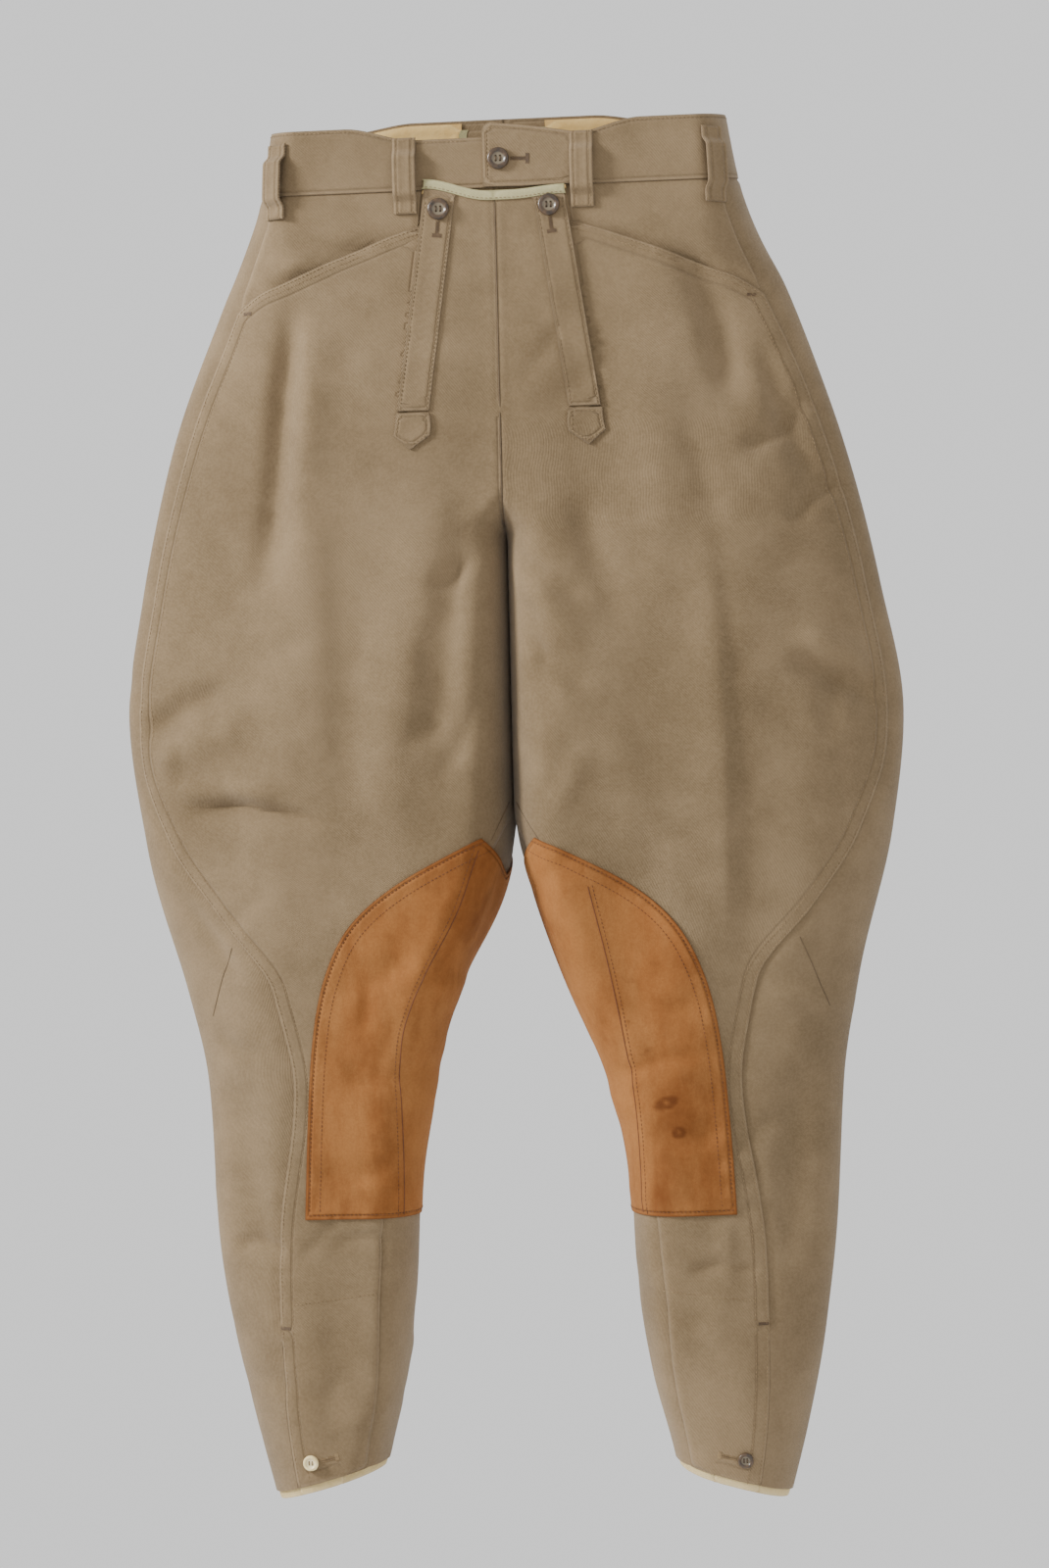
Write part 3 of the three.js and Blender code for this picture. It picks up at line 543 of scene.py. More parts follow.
def piece(name, side, outline, material, offset=0.0, thick=CLOTH, spacing=4.5, grain=1.5,
          hidden=None, marks=None, row=-20.0):
    """A closed sheet of cloth over an outline of (tau, z) points. offset and thick may be
    functions of tau, z and the distance from the edge; hidden says which edges carry no wear and no painted shade."""
    tau, z, faces, rim = fill(np.asarray(outline, float), spacing)
    base = surface(tau, z)
    ends = sorted({i for pair in rim for i in pair})
    bare = [i for i in ends if hidden is None or not hidden(tau[i], z[i], base[i][0])]
    dense = []
    bare_set = set(bare)
    for a, b in rim:
        if a in bare_set and b in bare_set:
            dense.extend(base[a] + (base[b] - base[a]) * t for t in (0, 0.25, 0.5, 0.75))
    if dense:
        tree = tree_of(np.array(dense))
        edge = np.array([tree.find(p)[2] for p in base])
    else:
        edge = np.full(len(tau), 100.0)
    middle = offset(tau, z, edge) if callable(offset) else offset + 0 * tau
    half = (thick(tau, z, edge) if callable(thick) else thick + 0 * tau) / 2
    soft_edge = 0.25 * np.clip(1 - edge, 0, 1)
    outside = lay(side, tau, z, middle + half - soft_edge)
    inside_face = lay(side, tau, z, middle - half)
    count = len(tau)
    polygons = list(faces) + [tuple(i + count for i in reversed(f)) for f in faces]
    polygons += [(b, a, a + count, b + count) for a, b in rim]
    if side < 0:
        polygons = [tuple(reversed(f)) for f in polygons]
    mesh = bpy.data.meshes.new(name)
    mesh.from_pydata((np.vstack([outside, inside_face]) * MM).tolist(), [], polygons)
    mesh.shade_smooth()
    mesh.set_sharp_from_angle(angle=math.radians(50))
    u = (girth(tau, z) - girth(grain + 0 * tau, z)) * side * MM
    weave = mesh.uv_layers.new(name="weave")
    corner = np.zeros(len(mesh.loops), np.int32)
    mesh.loops.foreach_get("vertex_index", corner)
    corner %= count
    weave.data.foreach_set("uv", np.stack([u[corner], z[corner] * MM], 1).astype(np.float32).ravel())
    set_floats(mesh, "edge", np.tile(np.minimum(edge, 60), 2))
    set_floats(mesh, "row", np.tile(row(z, base[:, 0]) if callable(row) else row + 0 * tau, 2))
    set_floats(mesh, "mark", np.tile(marks(base[:, 0] * side, z) if marks else 0 * tau, 2))
    return link(name, mesh, material)


# ---------------------------------------------------------------- shader groups and materials


class Nodes:
    """Adds nodes to a tree and links them by value."""

    def __init__(self, tree):
        self.tree = tree

    def add(self, kind, values=None, **settings):
        node = self.tree.nodes.new(kind)
        for key, value in settings.items():
            setattr(node, key, value)
        for key, value in (values or {}).items():
            if isinstance(value, bpy.types.NodeSocket):
                self.tree.links.new(value, node.inputs[key])
            else:
                node.inputs[key].default_value = value
        return node

    def math(self, operation, a, b=0.0, c=0.0):
        values = {0: a, 1: b} if operation != "MULTIPLY_ADD" else {0: a, 1: b, 2: c}
        return self.add("ShaderNodeMath", values, operation=operation).outputs[0]

    def between(self, value, low, high, to_low=0.0, to_high=1.0):
        values = {0: value, 1: low, 2: high, 3: to_low, 4: to_high}
        return self.add("ShaderNodeMapRange", values, interpolation_type="SMOOTHSTEP").outputs[0]

    def mix(self, share, a, b, blend="MIX"):
        node = self.add("ShaderNodeMix", data_type="RGBA", blend_type=blend)
        for socket, value in ((node.inputs[0], share), (node.inputs[6], a), (node.inputs[7], b)):
            if isinstance(value, bpy.types.NodeSocket):
                self.tree.links.new(value, socket)
            else:
                socket.default_value = value
        return node.outputs[2]

    def noise(self, vector, scale, detail=3.0, rough=0.55):
        values = {"Vector": vector, "Scale": scale, "Detail": detail, "Roughness": rough}
        return self.add("ShaderNodeTexNoise", values).outputs["Fac"]

    def bell(self, value, centre, width):
        off = self.math("DIVIDE", self.math("SUBTRACT", value, centre), width)
        return self.math("EXPONENT", self.math("MULTIPLY", self.math("MULTIPLY", off, off), -1.0))


def shader_group(name, inputs, outputs, build):
    """A node group of floats; build gets the helper, the input sockets, and returns outputs."""
    tree = bpy.data.node_groups.new(name, "ShaderNodeTree")
    for label, value in inputs.items():
        socket = tree.interface.new_socket(label, in_out="INPUT", socket_type="NodeSocketFloat")
        socket.default_value = value
    for label in outputs:
        tree.interface.new_socket(label, in_out="OUTPUT", socket_type="NodeSocketFloat")
    entry, leave = tree.nodes.new("NodeGroupInput"), tree.nodes.new("NodeGroupOutput")
    results = build(Nodes(tree), {label: entry.outputs[label] for label in inputs})
    for label, value in zip(outputs, results):
        tree.links.new(value, leave.inputs[label])
    return tree


def build_twill(n, given):
    """Steep diagonal ribs crossed by the finer turns of the yarn."""
    uv = n.add("ShaderNodeUVMap", uv_map="weave").outputs[0]
    parts = n.add("ShaderNodeSeparateXYZ", {0: uv})
    u, v = parts.outputs[0], parts.outputs[1]
    wander = n.math("MULTIPLY", n.noise(uv, 90.0, 2.0), 0.0009)
    along = n.math("ADD", n.math("MULTIPLY_ADD", u, 0.88, wander), n.math("MULTIPLY", v, -0.47))
    over = n.math("ADD", n.math("MULTIPLY", u, 0.47), n.math("MULTIPLY", v, 0.88))
    turns = n.math("DIVIDE", 6.28318, given["Rib"])
    rib = n.math("SINE", n.math("MULTIPLY", along, turns))
    yarn = n.math("SINE", n.math("MULTIPLY", over, n.math("MULTIPLY", turns, 1.7)))
    slub = n.noise(uv, 900.0, 2.0)
    height = n.math("ADD", n.math("MULTIPLY_ADD", yarn, 0.35, rib), n.math("MULTIPLY", slub, 0.8))
    return height, n.between(height, -1.0, 2.0)


def build_fade(n, given):
    """Uneven fading, from broad patches down to a fine mottle."""
    at = n.add("ShaderNodeTexCoord").outputs["Object"]
    broad = n.noise(at, given["Broad"], 2.0, 0.5)
    fine = n.noise(at, given["Fine"], 4.0, 0.65)
    speck = n.noise(at, 620.0, 2.0)
    tone = n.math("ADD", n.math("MULTIPLY", broad, 0.62), n.math("MULTIPLY", fine, 0.38))
    return n.between(tone, 0.32, 0.68), n.between(speck, 0.35, 0.65)


def build_seam(n, given):
    """Raised edge of a sewn piece, its puckers, the groove of the row sewn inside it, wear along the edge, and
    painted shade in that groove and along the cut edge.
    """
    edge = n.add("ShaderNodeAttribute", attribute_name="edge").outputs["Fac"]
    row = n.add("ShaderNodeAttribute", attribute_name="row").outputs["Fac"]
    at = n.add("ShaderNodeTexCoord").outputs["Object"]
    pucker = n.noise(at, 170.0, 2.0)
    near = n.between(edge, 1.0, 16.0, 1.0, 0.0)
    lip = n.math("MULTIPLY", n.bell(edge, 4.0, 3.4), given["Lip"])
    groove = n.math("MULTIPLY", n.bell(edge, row, 0.9), given["Groove"])
    wavy = n.math("MULTIPLY", n.math("MULTIPLY", pucker, near), given["Pucker"])
    height = n.math("ADD", n.math("SUBTRACT", lip, groove), wavy)
    rubbed = n.math("MULTIPLY", n.between(edge, 0.2, 2.6, 1.0, 0.0), pucker)
    # painted shade: darker in the groove of the sewn row and within a millimetre of the cut edge
    groove_shade = n.math("MULTIPLY", n.bell(edge, row, 0.8), 0.4)
    shade = n.math("MAXIMUM", groove_shade, n.between(edge, 0.0, 1.0, 1.0, 0.0))
    return height, rubbed, shade


def build_nap(n, given):
    """The brushed nap of suede: streaks laid by hand and finer fibres."""
    at = n.add("ShaderNodeTexCoord").outputs["Object"]
    turned = n.add("ShaderNodeMapping", {0: at, 2: (0.2, 0.5, 0.4), 3: (1.0, 1.0, 0.35)}).outputs[0]
    streak = n.noise(turned, given["Streak"], 5.0, 0.62)
    fibre = n.noise(at, 1500.0, 3.0, 0.7)
    return n.between(streak, 0.34, 0.66), fibre


TWILL = shader_group("Whipcord twill", {"Rib": 0.0011}, ["Height", "Shade"], build_twill)
FADE = shader_group("Fading", {"Broad": 5.0, "Fine": 34.0}, ["Tone", "Speck"], build_fade)
SEAM = shader_group(
    "Sewn edge", {"Lip": 0.5, "Groove": 0.6, "Pucker": 0.5}, ["Height", "Rubbed", "Shade"], build_seam
)
NAP = shader_group("Suede nap", {"Streak": 26.0}, ["Streak", "Fibre"], build_nap)


def start_material(name, **shader_values):
    material = bpy.data.materials.new(name)
    material.use_nodes = True
    material.node_tree.nodes.clear()
    n = Nodes(material.node_tree)
    shader = n.add("ShaderNodeBsdfPrincipled", shader_values)
    out = n.add("ShaderNodeOutputMaterial")
    n.tree.links.new(shader.outputs[0], out.inputs[0])
    return material, n, shader


def use(n, group, values=None):
    node = n.add("ShaderNodeGroup", node_tree=group)
    for key, value in (values or {}).items():
        node.inputs[key].default_value = value
    return node.outputs


def rgb(red, green, blue):
    """A linear colour from its display values, 0 to 255."""
    def linear(c):
        c /= 255
        return c / 12.92 if c <= 0.04045 else ((c + 0.055) / 1.055) ** 2.4
    return (linear(red), linear(green), linear(blue), 1.0)


def bump(n, shader, height, distance):
    made = n.add("ShaderNodeBump", {"Height": height, "Distance": distance, "Strength": 1.0})
    n.tree.links.new(made.outputs[0], shader.inputs["Normal"])


def woven(name, dark, light, rib, relief_mm, rubbed_colour, **shader_values):
    """A woven cloth with its own colours, rib width and depth of weave."""
    material, n, shader = start_material(name, **shader_values)
    weave, fade = use(n, TWILL, {"Rib": rib}), use(n, FADE)
    seam = use(n, SEAM)
    colour = n.mix(fade["Tone"], dark, light)
    colour = n.mix(n.math("MULTIPLY", fade["Speck"], 0.12), colour, rubbed_colour)
    colour = n.mix(n.math("MULTIPLY", seam["Rubbed"], 0.5), colour, rubbed_colour)
    # painted shade: the row's groove and the cut edge are darkened in the colour
    colour = n.mix(n.math("MULTIPLY", seam["Shade"], 0.38), colour, dark, "MULTIPLY")
    deep = n.math("MULTIPLY_ADD", weave["Shade"], 0.34, 0.80)
    shade = n.add("ShaderNodeCombineColor", {0: deep, 1: deep, 2: deep}).outputs[0]
    colour = n.mix(1.0, colour, shade, "MULTIPLY")
    n.tree.links.new(colour, shader.inputs["Base Color"])
    rough = n.math("MULTIPLY_ADD", weave["Shade"], -0.08, 0.95)
    n.tree.links.new(rough, shader.inputs["Roughness"])
    height = n.math("MULTIPLY_ADD", weave["Height"], relief_mm, seam["Height"])
    bump(n, shader, height, MM)
    return material


CLOTH_LOOK = woven(
    "whipcord_cloth", rgb(110, 91, 64), rgb(136, 115, 86), 0.0009, 0.08, rgb(172, 150, 119),
    **{"Sheen Weight": 0.12, "Sheen Roughness": 0.5, "Specular IOR Level": 0.25},
)
LINING_LOOK = woven(
    "cream_lining", rgb(196, 160, 96), rgb(222, 190, 126), 0.0007, 0.03, rgb(232, 206, 150),
    **{"Specular IOR Level": 0.3},
)
TAPE_LOOK = woven(
    "woven_tape", rgb(150, 143, 102), rgb(184, 176, 132), 0.0008, 0.05, rgb(206, 198, 158),
    **{"Specular IOR Level": 0.3},
)
HEM_TAPE_LOOK = woven(
    "cream_tape", rgb(182, 158, 106), rgb(214, 192, 142), 0.0008, 0.05, rgb(230, 214, 176),
    **{"Specular IOR Level": 0.3},
)


def suede():
    """Napped suede with brushed streaks, rubbed edges, painted shade along its edges and sewn grooves, and a few
    dark marks.
    """
    material, n, shader = start_material(
        "tan_suede", **{"Sheen Weight": 0.18, "Sheen Roughness": 0.45, "Specular IOR Level": 0.15,
                        "Sheen Tint": rgb(220, 160, 96)},
    )
    nap, fade = use(n, NAP), use(n, FADE, {"Broad": 11.0, "Fine": 60.0})
    seam = use(n, SEAM, {"Lip": 0.35, "Groove": 0.7, "Pucker": 0.7})
    colour = n.mix(fade["Tone"], rgb(104, 60, 26), rgb(142, 90, 46))
    colour = n.mix(n.math("MULTIPLY", nap["Streak"], 0.55), colour, rgb(164, 114, 66))
    colour = n.mix(n.math("MULTIPLY", fade["Speck"], 0.16), colour, rgb(104, 52, 16))
    colour = n.mix(n.math("MULTIPLY", seam["Rubbed"], 0.7), colour, rgb(112, 58, 20))
    # painted shade: darker in the sewn groove and along the cut edge
    colour = n.mix(n.math("MULTIPLY", seam["Shade"], 0.45), colour, rgb(84, 42, 14))
    mark = n.add("ShaderNodeAttribute", attribute_name="mark").outputs["Fac"]
    colour = n.mix(n.between(mark, 0.4, 1.5, 0.0, 0.72), colour, rgb(80, 40, 14))
    n.tree.links.new(colour, shader.inputs["Base Color"])
    rough = n.math("MULTIPLY_ADD", nap["Fibre"], 0.2, 0.78)
    n.tree.links.new(rough, shader.inputs["Roughness"])
    height = n.math("MULTIPLY_ADD", nap["Fibre"], 0.16, seam["Height"])
    height = n.math("MULTIPLY_ADD", nap["Streak"], 0.25, height)
    bump(n, shader, height, MM)
    return material


SUEDE_LOOK = suede()


def horn(name, dark, light, middle):
    """A polished, mottled button with a duller, paler middle."""
    material, n, shader = start_material(name, **{"Coat Weight": 0.35, "Coat Roughness": 0.15})
    fade = use(n, FADE, {"Broad": 260.0, "Fine": 900.0})
    rim = n.add("ShaderNodeAttribute", attribute_name="rim").outputs["Fac"]
    colour = n.mix(fade["Tone"], dark, light)
    inner_share = n.between(rim, 0.48, 0.62, 0.7, 0.0)
    colour = n.mix(inner_share, colour, middle)
    colour = n.mix(n.between(rim, 0.94, 1.0, 0.0, 0.4), colour, light)
    n.tree.links.new(colour, shader.inputs["Base Color"])
    rough = n.math("MULTIPLY_ADD", fade["Speck"], 0.2, 0.28)
    n.tree.links.new(rough, shader.inputs["Roughness"])
    bump(n, shader, fade["Speck"], 0.00004)
    return material


DARK_HORN = horn("brown_horn", rgb(40, 28, 17), rgb(84, 62, 38), rgb(122, 110, 88))
PALE_HORN = horn("cream_horn", rgb(214, 190, 128), rgb(236, 218, 168), rgb(240, 226, 186))


def thread(name, dark, light):
    material, n, shader = start_material(name, Roughness=0.7)
    fade = use(n, FADE, {"Broad": 120.0, "Fine": 700.0})
    colour = n.mix(fade["Tone"], dark, light)
    n.tree.links.new(colour, shader.inputs["Base Color"])
    bump(n, shader, fade["Speck"], 0.00008)
    return material


THREADS = {
    "khaki": thread("khaki_thread", rgb(108, 86, 56), rgb(150, 126, 90)),
    "brown": thread("brown_thread", rgb(70, 52, 34), rgb(100, 78, 52)),
    "tan": thread("tan_thread", rgb(70, 36, 14), rgb(112, 62, 26)),
    # seam and suede_seam are no threads: dark tubes laid along seams, painted shade for the seams' valleys
    "seam": thread("seam_shadow", rgb(78, 61, 38), rgb(96, 77, 52)),
    "suede_seam": thread("suede_seam_shadow", rgb(84, 42, 14), rgb(104, 54, 20)),
}

# ---------------------------------------------------------------- sewing, by Geometry Nodes


def geometry_tree(name, sizes):
    """An empty geometry tree with named sizes; returns it, its helper, entry and exit."""
    tree = bpy.data.node_groups.new(name, "GeometryNodeTree")
    tree.interface.new_socket("Lines", in_out="INPUT", socket_type="NodeSocketGeometry")
    for label in sizes:
        tree.interface.new_socket(label, in_out="INPUT", socket_type="NodeSocketFloat")
    tree.interface.new_socket("Thread", in_out="INPUT", socket_type="NodeSocketMaterial")
    tree.interface.new_socket("Sewing", in_out="OUTPUT", socket_type="NodeSocketGeometry")
    entry, leave = tree.nodes.new("NodeGroupInput"), tree.nodes.new("NodeGroupOutput")
    return tree, Nodes(tree), entry, leave


def finish_tree(n, geometry_out, entry, leave):
    real = n.add("GeometryNodeRealizeInstances", {0: geometry_out}).outputs[0]
    smooth_faces = n.add("GeometryNodeSetShadeSmooth", {0: real}).outputs[0]
    looks = n.add("GeometryNodeSetMaterial", {0: smooth_faces, "Material": entry.outputs["Thread"]})
    n.tree.links.new(looks.outputs[0], leave.inputs[0])


def stitch_tree():
    """Lays a small round stitch along each line at every pitch, slightly uneven."""
    tree, n, entry, leave = geometry_tree("Sewn rows", ["Pitch", "Length", "Width"])
    curve = n.add("GeometryNodeMeshToCurve", {0: entry.outputs["Lines"]}).outputs[0]
    spaced = n.add("GeometryNodeResampleCurve", {0: curve}, mode="LENGTH")
    n.tree.links.new(entry.outputs["Pitch"], spaced.inputs["Length"])
    tangent = n.add("GeometryNodeInputTangent").outputs[0]
    turn = n.add("FunctionNodeAlignRotationToVector", {"Vector": tangent}, axis="X").outputs[0]
    uneven = n.add("FunctionNodeRandomValue", {2: 0.86, 3: 1.1, "Seed": 7}, data_type="FLOAT")
    length = n.math("MULTIPLY", entry.outputs["Length"], uneven.outputs[1])
    size = n.add("ShaderNodeCombineXYZ", {0: length, 1: entry.outputs["Width"], 2: entry.outputs["Width"]})
    bead = n.add("GeometryNodeMeshUVSphere", {"Segments": 6, "Rings": 4, "Radius": 0.5}).outputs[0]
    placed = n.add("GeometryNodeInstanceOnPoints", {"Points": spaced.outputs[0], "Instance": bead,
                                                    "Rotation": turn, "Scale": size.outputs[0]})
    finish_tree(n, placed.outputs[0], entry, leave)
    return tree


def thread_tree():
    """Turns each line into a round thread with closed ends."""
    tree, n, entry, leave = geometry_tree("Threads", ["Width"])
    curve = n.add("GeometryNodeMeshToCurve", {0: entry.outputs["Lines"]}).outputs[0]
    radius = n.math("MULTIPLY", entry.outputs["Width"], 0.5)
    ring_shape = n.add("GeometryNodeCurvePrimitiveCircle", {"Resolution": 6, "Radius": radius})
    tube = n.add("GeometryNodeCurveToMesh", {0: curve, 1: ring_shape.outputs[0], "Fill Caps": True})
    finish_tree(n, tube.outputs[0], entry, leave)
    return tree


SEWN_ROWS, THREAD_TUBES = stitch_tree(), thread_tree()
lines = {}  # (kind, thread, body) -> lists of points in metres
FAR = 99  # a distance from the edge at which it has no effect


def remember(kind, colour, body, points):
    lines.setdefault((kind, colour, body), []).append(np.asarray(points, float) * MM)


def sew(body, side, line, offset, colour="khaki"):
    """Remembers a row of stitches along (tau, z) points, lying on a face of the cloth."""
    line = np.asarray(line, float)
    off = value_at(offset, line[:, 0], line[:, 1], FAR)
    remember("row", colour, body, lay(side, line[:, 0], line[:, 1], off))


def work(kind, colour, body, sizes, tree):
    """Makes one mesh from the remembered lines of a kind, with the tree's inputs set by name."""
    vertices, edges = [], []
    for points in lines[(kind, colour, body)]:
        first = len(vertices)
        vertices.extend(points.tolist())
        edges.extend((first + i, first + i + 1) for i in range(len(points) - 1))
    mesh = bpy.data.meshes.new("lines")
    mesh.from_pydata(vertices, edges, [])
    base = add_object("lines", mesh)
    modifier = base.modifiers.new("sewing", "NODES")
    modifier.node_group = tree
    wanted = {**sizes, "Thread": THREADS[colour]}
    for item in tree.interface.items_tree:
        if item.in_out == "INPUT" and item.name in wanted:
            modifier[item.identifier] = wanted[item.name]
    graph = bpy.context.evaluated_depsgraph_get()
    made = bpy.data.meshes.new_from_object(base.evaluated_get(graph))
    base.modifiers.remove(modifier)
    bpy.data.objects.remove(base)
    name = f"{kind}_{colour}_{body}"
    made.name = name
    obj = add_object(name, made)
    if not obj.data.materials:
        obj.data.materials.append(THREADS[colour])
    return obj


# ---------------------------------------------------------------- outlines of the pieces


def outseam_under(z):
    """Edge of the back panel, which runs on under the front panel above the cuff's slit."""
    return outseam_x(z) - 8 * smooth((z - SLIT_TOP) / 10)


def mouth_points():
    mouth = through(POCKET_MOUTH)
    x, z = mouth[:, 0], mouth[:, 1]
    return mouth[(x > flap_edge(z) - FLAP_LAP) & (x < outseam_x(z) - 1)]


MOUTH = mouth_points()


def mouth_z(x):
    return np.interp(x, MOUTH[:, 0], MOUTH[:, 1])


def level_at(edge):
    """Height of the hem where an edge, given as x for each height, meets it."""
    z = HEM_Z
    for _ in range(6):
        z = hem_z(float(edge(z)))
    return z


def front_outline():
    end = MOUTH[-1, 1]
    zf, zi = level_at(cuff_fold), level_at(inseam_x)
    return np.vstack([
        on_front(MOUTH),
        run(outseam_x, end - 2, SLIT_TOP + 1),
        across(outseam_x(SLIT_TOP), cuff_fold(SLIT_TOP), SLIT_TOP),
        run(cuff_fold, SLIT_TOP - 1, zf),
        across(cuff_fold(zf) - 4, inseam_x(zi), hem_z),
        run(inseam_x, zi + 3, INSEAM_TOP),
        run(lambda z: inner(z), INSEAM_TOP + 3, CROTCH_Z),
        run(lambda z: 0 * z, CROTCH_Z + 3, FOLD_Z - 2),
        across(4, 60, FOLD_Z - 2),
        run(lambda z: flap_edge(z) - FLAP_LAP, FOLD_Z, MOUTH[0, 1] - 3),
    ])


def band_seam(tau):
    """Height of the waistband's lower seam, which rises to the back."""
    return BAND_SLOPE * (surface(tau, -20 + 0 * tau)[:, 1] + WAIST_DEPTH) - BAND_HEIGHT


def back_outline():
    ends = tau_at(outseam_under(-40), -40), 6 - tau_at(0, -40)
    top = np.linspace(*ends, 60)
    zi, zo = level_at(inseam_x), level_at(outseam_x)
    tau_in = 6 + tau_at(inseam_x(zi) + 6, zi)
    tau_out = tau_at(outseam_x(zo), zo)
    hem = np.linspace(tau_in, tau_out, 80)
    hem_height = hem_z(surface(hem, HEM_Z + 0 * hem)[:, 0])
    inseam = run(lambda z: inseam_x(z) + 6 * smooth((INSEAM_TOP - z) / 30), INSEAM_TOP - 3, zi + 3)
    inseam[:, 0] += 6
    middle = run(lambda z: 0 * z, -38, CROTCH_Z, back=True)
    crotch = np.stack([np.full(45, 6.0), np.linspace(CROTCH_Z - 3, INSEAM_TOP, 45)], 1)
    return np.vstack([
        np.stack([top, band_seam(top) + 5], 1),
        middle,
        crotch,
        inseam,
        np.stack([hem, hem_height], 1),
        run(outseam_under, zo + 4, -42),
    ])


def back_offset(tau, z, edge):
    """The back panel slips under the front panel at both seams, and under the waistband."""
    spot = surface(tau, z)
    at_outseam = (1 - smooth((spot[:, 0] - outseam_x(z)) / 8)) * (tau < 3) * smooth((z - SLIT_TOP + 4) / 6)
    at_inseam = (1 - smooth((inseam_x(z) - spot[:, 0]) / 7)) * (tau > 5.99) * smooth((INSEAM_TOP - z) / 20)
    seam = BAND_SLOPE * (spot[:, 1] + WAIST_DEPTH) - BAND_HEIGHT
    return -STEP * np.maximum(np.maximum(at_outseam, at_inseam), smooth((z - seam + 4) / 5))


def band_sag(tau):
    """The front edge hangs down between the clips, and the back edge stands up a little."""
    x = surface(tau, -20 + 0 * tau)[:, 0]
    return np.where(tau < 3, -9.5 * smooth((104 - x) / 50), 6.0 * smooth((116 - x) / 50))


def band_outline(start, stop, top_drop, bottom_drop):
    tau = np.linspace(start, stop, 150)
    seam = band_seam(tau)
    return np.vstack([
        np.stack([tau, seam + BAND_HEIGHT - top_drop + band_sag(tau)], 1),
        np.stack([tau, seam + BAND_HEIGHT - bottom_drop], 1)[::-1],
    ])


def flap_top(x):
    """Top edge of the fall flap, which its buttons draw up at the corners."""
    return -47.0 + 9.5 * smooth((-x - 4) / 44) + 2.6 * smooth((x - 12) / 36)


def flap_offset(tau, z, edge):
    x = surface(tau, z)[:, 0]
    return STEP * np.maximum(smooth((z - FOLD_Z) / 26), smooth((x - 54) / 6))


def flap_outline(side, start, inset, low, drop_top, drop_low=None):
    """Part of the flap's half, between its centre and its edge."""
    top_x = np.linspace(flap_edge(-46) - inset, start(-46) if callable(start) else start, 12)
    top_z = flap_top(top_x * side) - drop_top
    left = start if callable(start) else (lambda z: start + 0 * z)
    low_x = np.linspace(float(left(np.float64(low))), flap_edge(low) - inset, 12)
    low_z = low + 0 * low_x if drop_low is None else flap_top(low_x * side) - drop_low
    bottom = on_front(np.stack([low_x, low_z], 1))
    top = on_front(np.stack([top_x, top_z], 1))
    outer_edge = run(lambda z: flap_edge(z) - inset, low_z[-1] + 1, top_z[0] - 1)
    inner_edge = run(left, top_z[-1] - 1, low_z[0] + 1)
    return np.vstack([bottom, outer_edge, top, inner_edge])


def yoke_outline():
    z = -40
    start = lambda height: flap_edge(height) + 1.6
    return np.vstack([
        across(float(outseam_x(z)), float(start(z)), z),
        run(start, z - 3, YOKE_BOTTOM),
        across(float(start(YOKE_BOTTOM)) + 3, float(outseam_x(YOKE_BOTTOM)), YOKE_BOTTOM),
        run(outseam_x, YOKE_BOTTOM + 3, z - 3),
    ])


def yoke_offset(tau, z, edge):
    x = surface(tau, z)[:, 0]
    under = smooth((mouth_z(x) + 10 - z) / 9)
    pouch = smooth((x - 66) / 26) * smooth((160 - x) / 25)
    return -under * (STEP + 0.1 + 3 * pouch) - STEP * smooth((z + BAND_HEIGHT + 4) / 5)


def bag_outline():
    x0, x1, low, _ = POCKET
    corner = 18
    turn = np.linspace(math.pi, 1.5 * math.pi, 7)
    left = np.stack([x0 + corner + corner * np.cos(turn), low + corner + corner * np.sin(turn)], 1)
    right = np.stack([x1 - corner - corner * np.cos(turn), low + corner + corner * np.sin(turn)], 1)[::-1]
    top_x = np.linspace(x1, x0, 20)
    points = np.vstack([left, right, np.stack([top_x, mouth_z(top_x) - 3], 1)])
    return on_front(points)


def bag_thick(tau, z, edge):
    return CLOTH + 5.5 * smooth(edge / 26)


def strap_outline():
    front, back = through(STRAP_FRONT), through(STRAP_BACK)
    ahead = on_front(front)
    behind = np.stack([-tau_at(back[:, 0], back[:, 1]), back[:, 1]], 1)[::-1]
    bottom = np.linspace(ahead[-1, 0], behind[0, 0], 46)[1:-1]
    return np.vstack([
        [[0.0, STRAP_NOTCH]], ahead, np.stack([bottom, STRAP_BOTTOM + 0 * bottom], 1), behind,
    ])


def cuff_outline(x_low, x_high, top, lift):
    """Part of the cuff between two edges, from a height down to the hem moved up by lift."""
    z0 = level_at(x_low) + lift
    z1 = level_at(x_high) + lift
    hem = across(float(x_high(z1)), float(x_low(z0)), lambda x: hem_z(x) + lift)
    return np.vstack([
        across(float(x_low(top)), float(x_high(top)), top),
        run(x_high, top - 2, z1 + 2),
        hem,
        run(x_low, z0 + 2, top - 2),
    ])


def round_hem(start, stop, low, high):
    """A band round the hem between two lifts."""
    tau = np.linspace(start, stop, 110)
    z = hem_z(surface(tau, HEM_Z + 0 * tau)[:, 0])
    return np.vstack([np.stack([tau, z + high], 1), np.stack([tau, z + low], 1)[::-1]])


def point_outline():
    top = FOLD_Z - 0.6
    x0, x1 = FLAP_HALF_FOLD - STRIP_WIDTH, FLAP_HALF_FOLD + 1
    corners = np.array([
        (x0, top), (x0 - 0.5, FOLD_Z - POINT_SHOULDER), ((x0 + x1) / 2 + 2, FOLD_Z - POINT_LENGTH),
        (x1 + 2, FOLD_Z - POINT_SHOULDER), (x1, top),
    ])
    return on_front(corners)


def inset(points, gap):
    """An (x, z) line moved sideways, to the right of its direction."""
    along = np.gradient(points, axis=0)
    along /= np.linalg.norm(along, axis=1, keepdims=True)
    return points + np.stack([along[:, 1], -along[:, 0]], 1) * gap
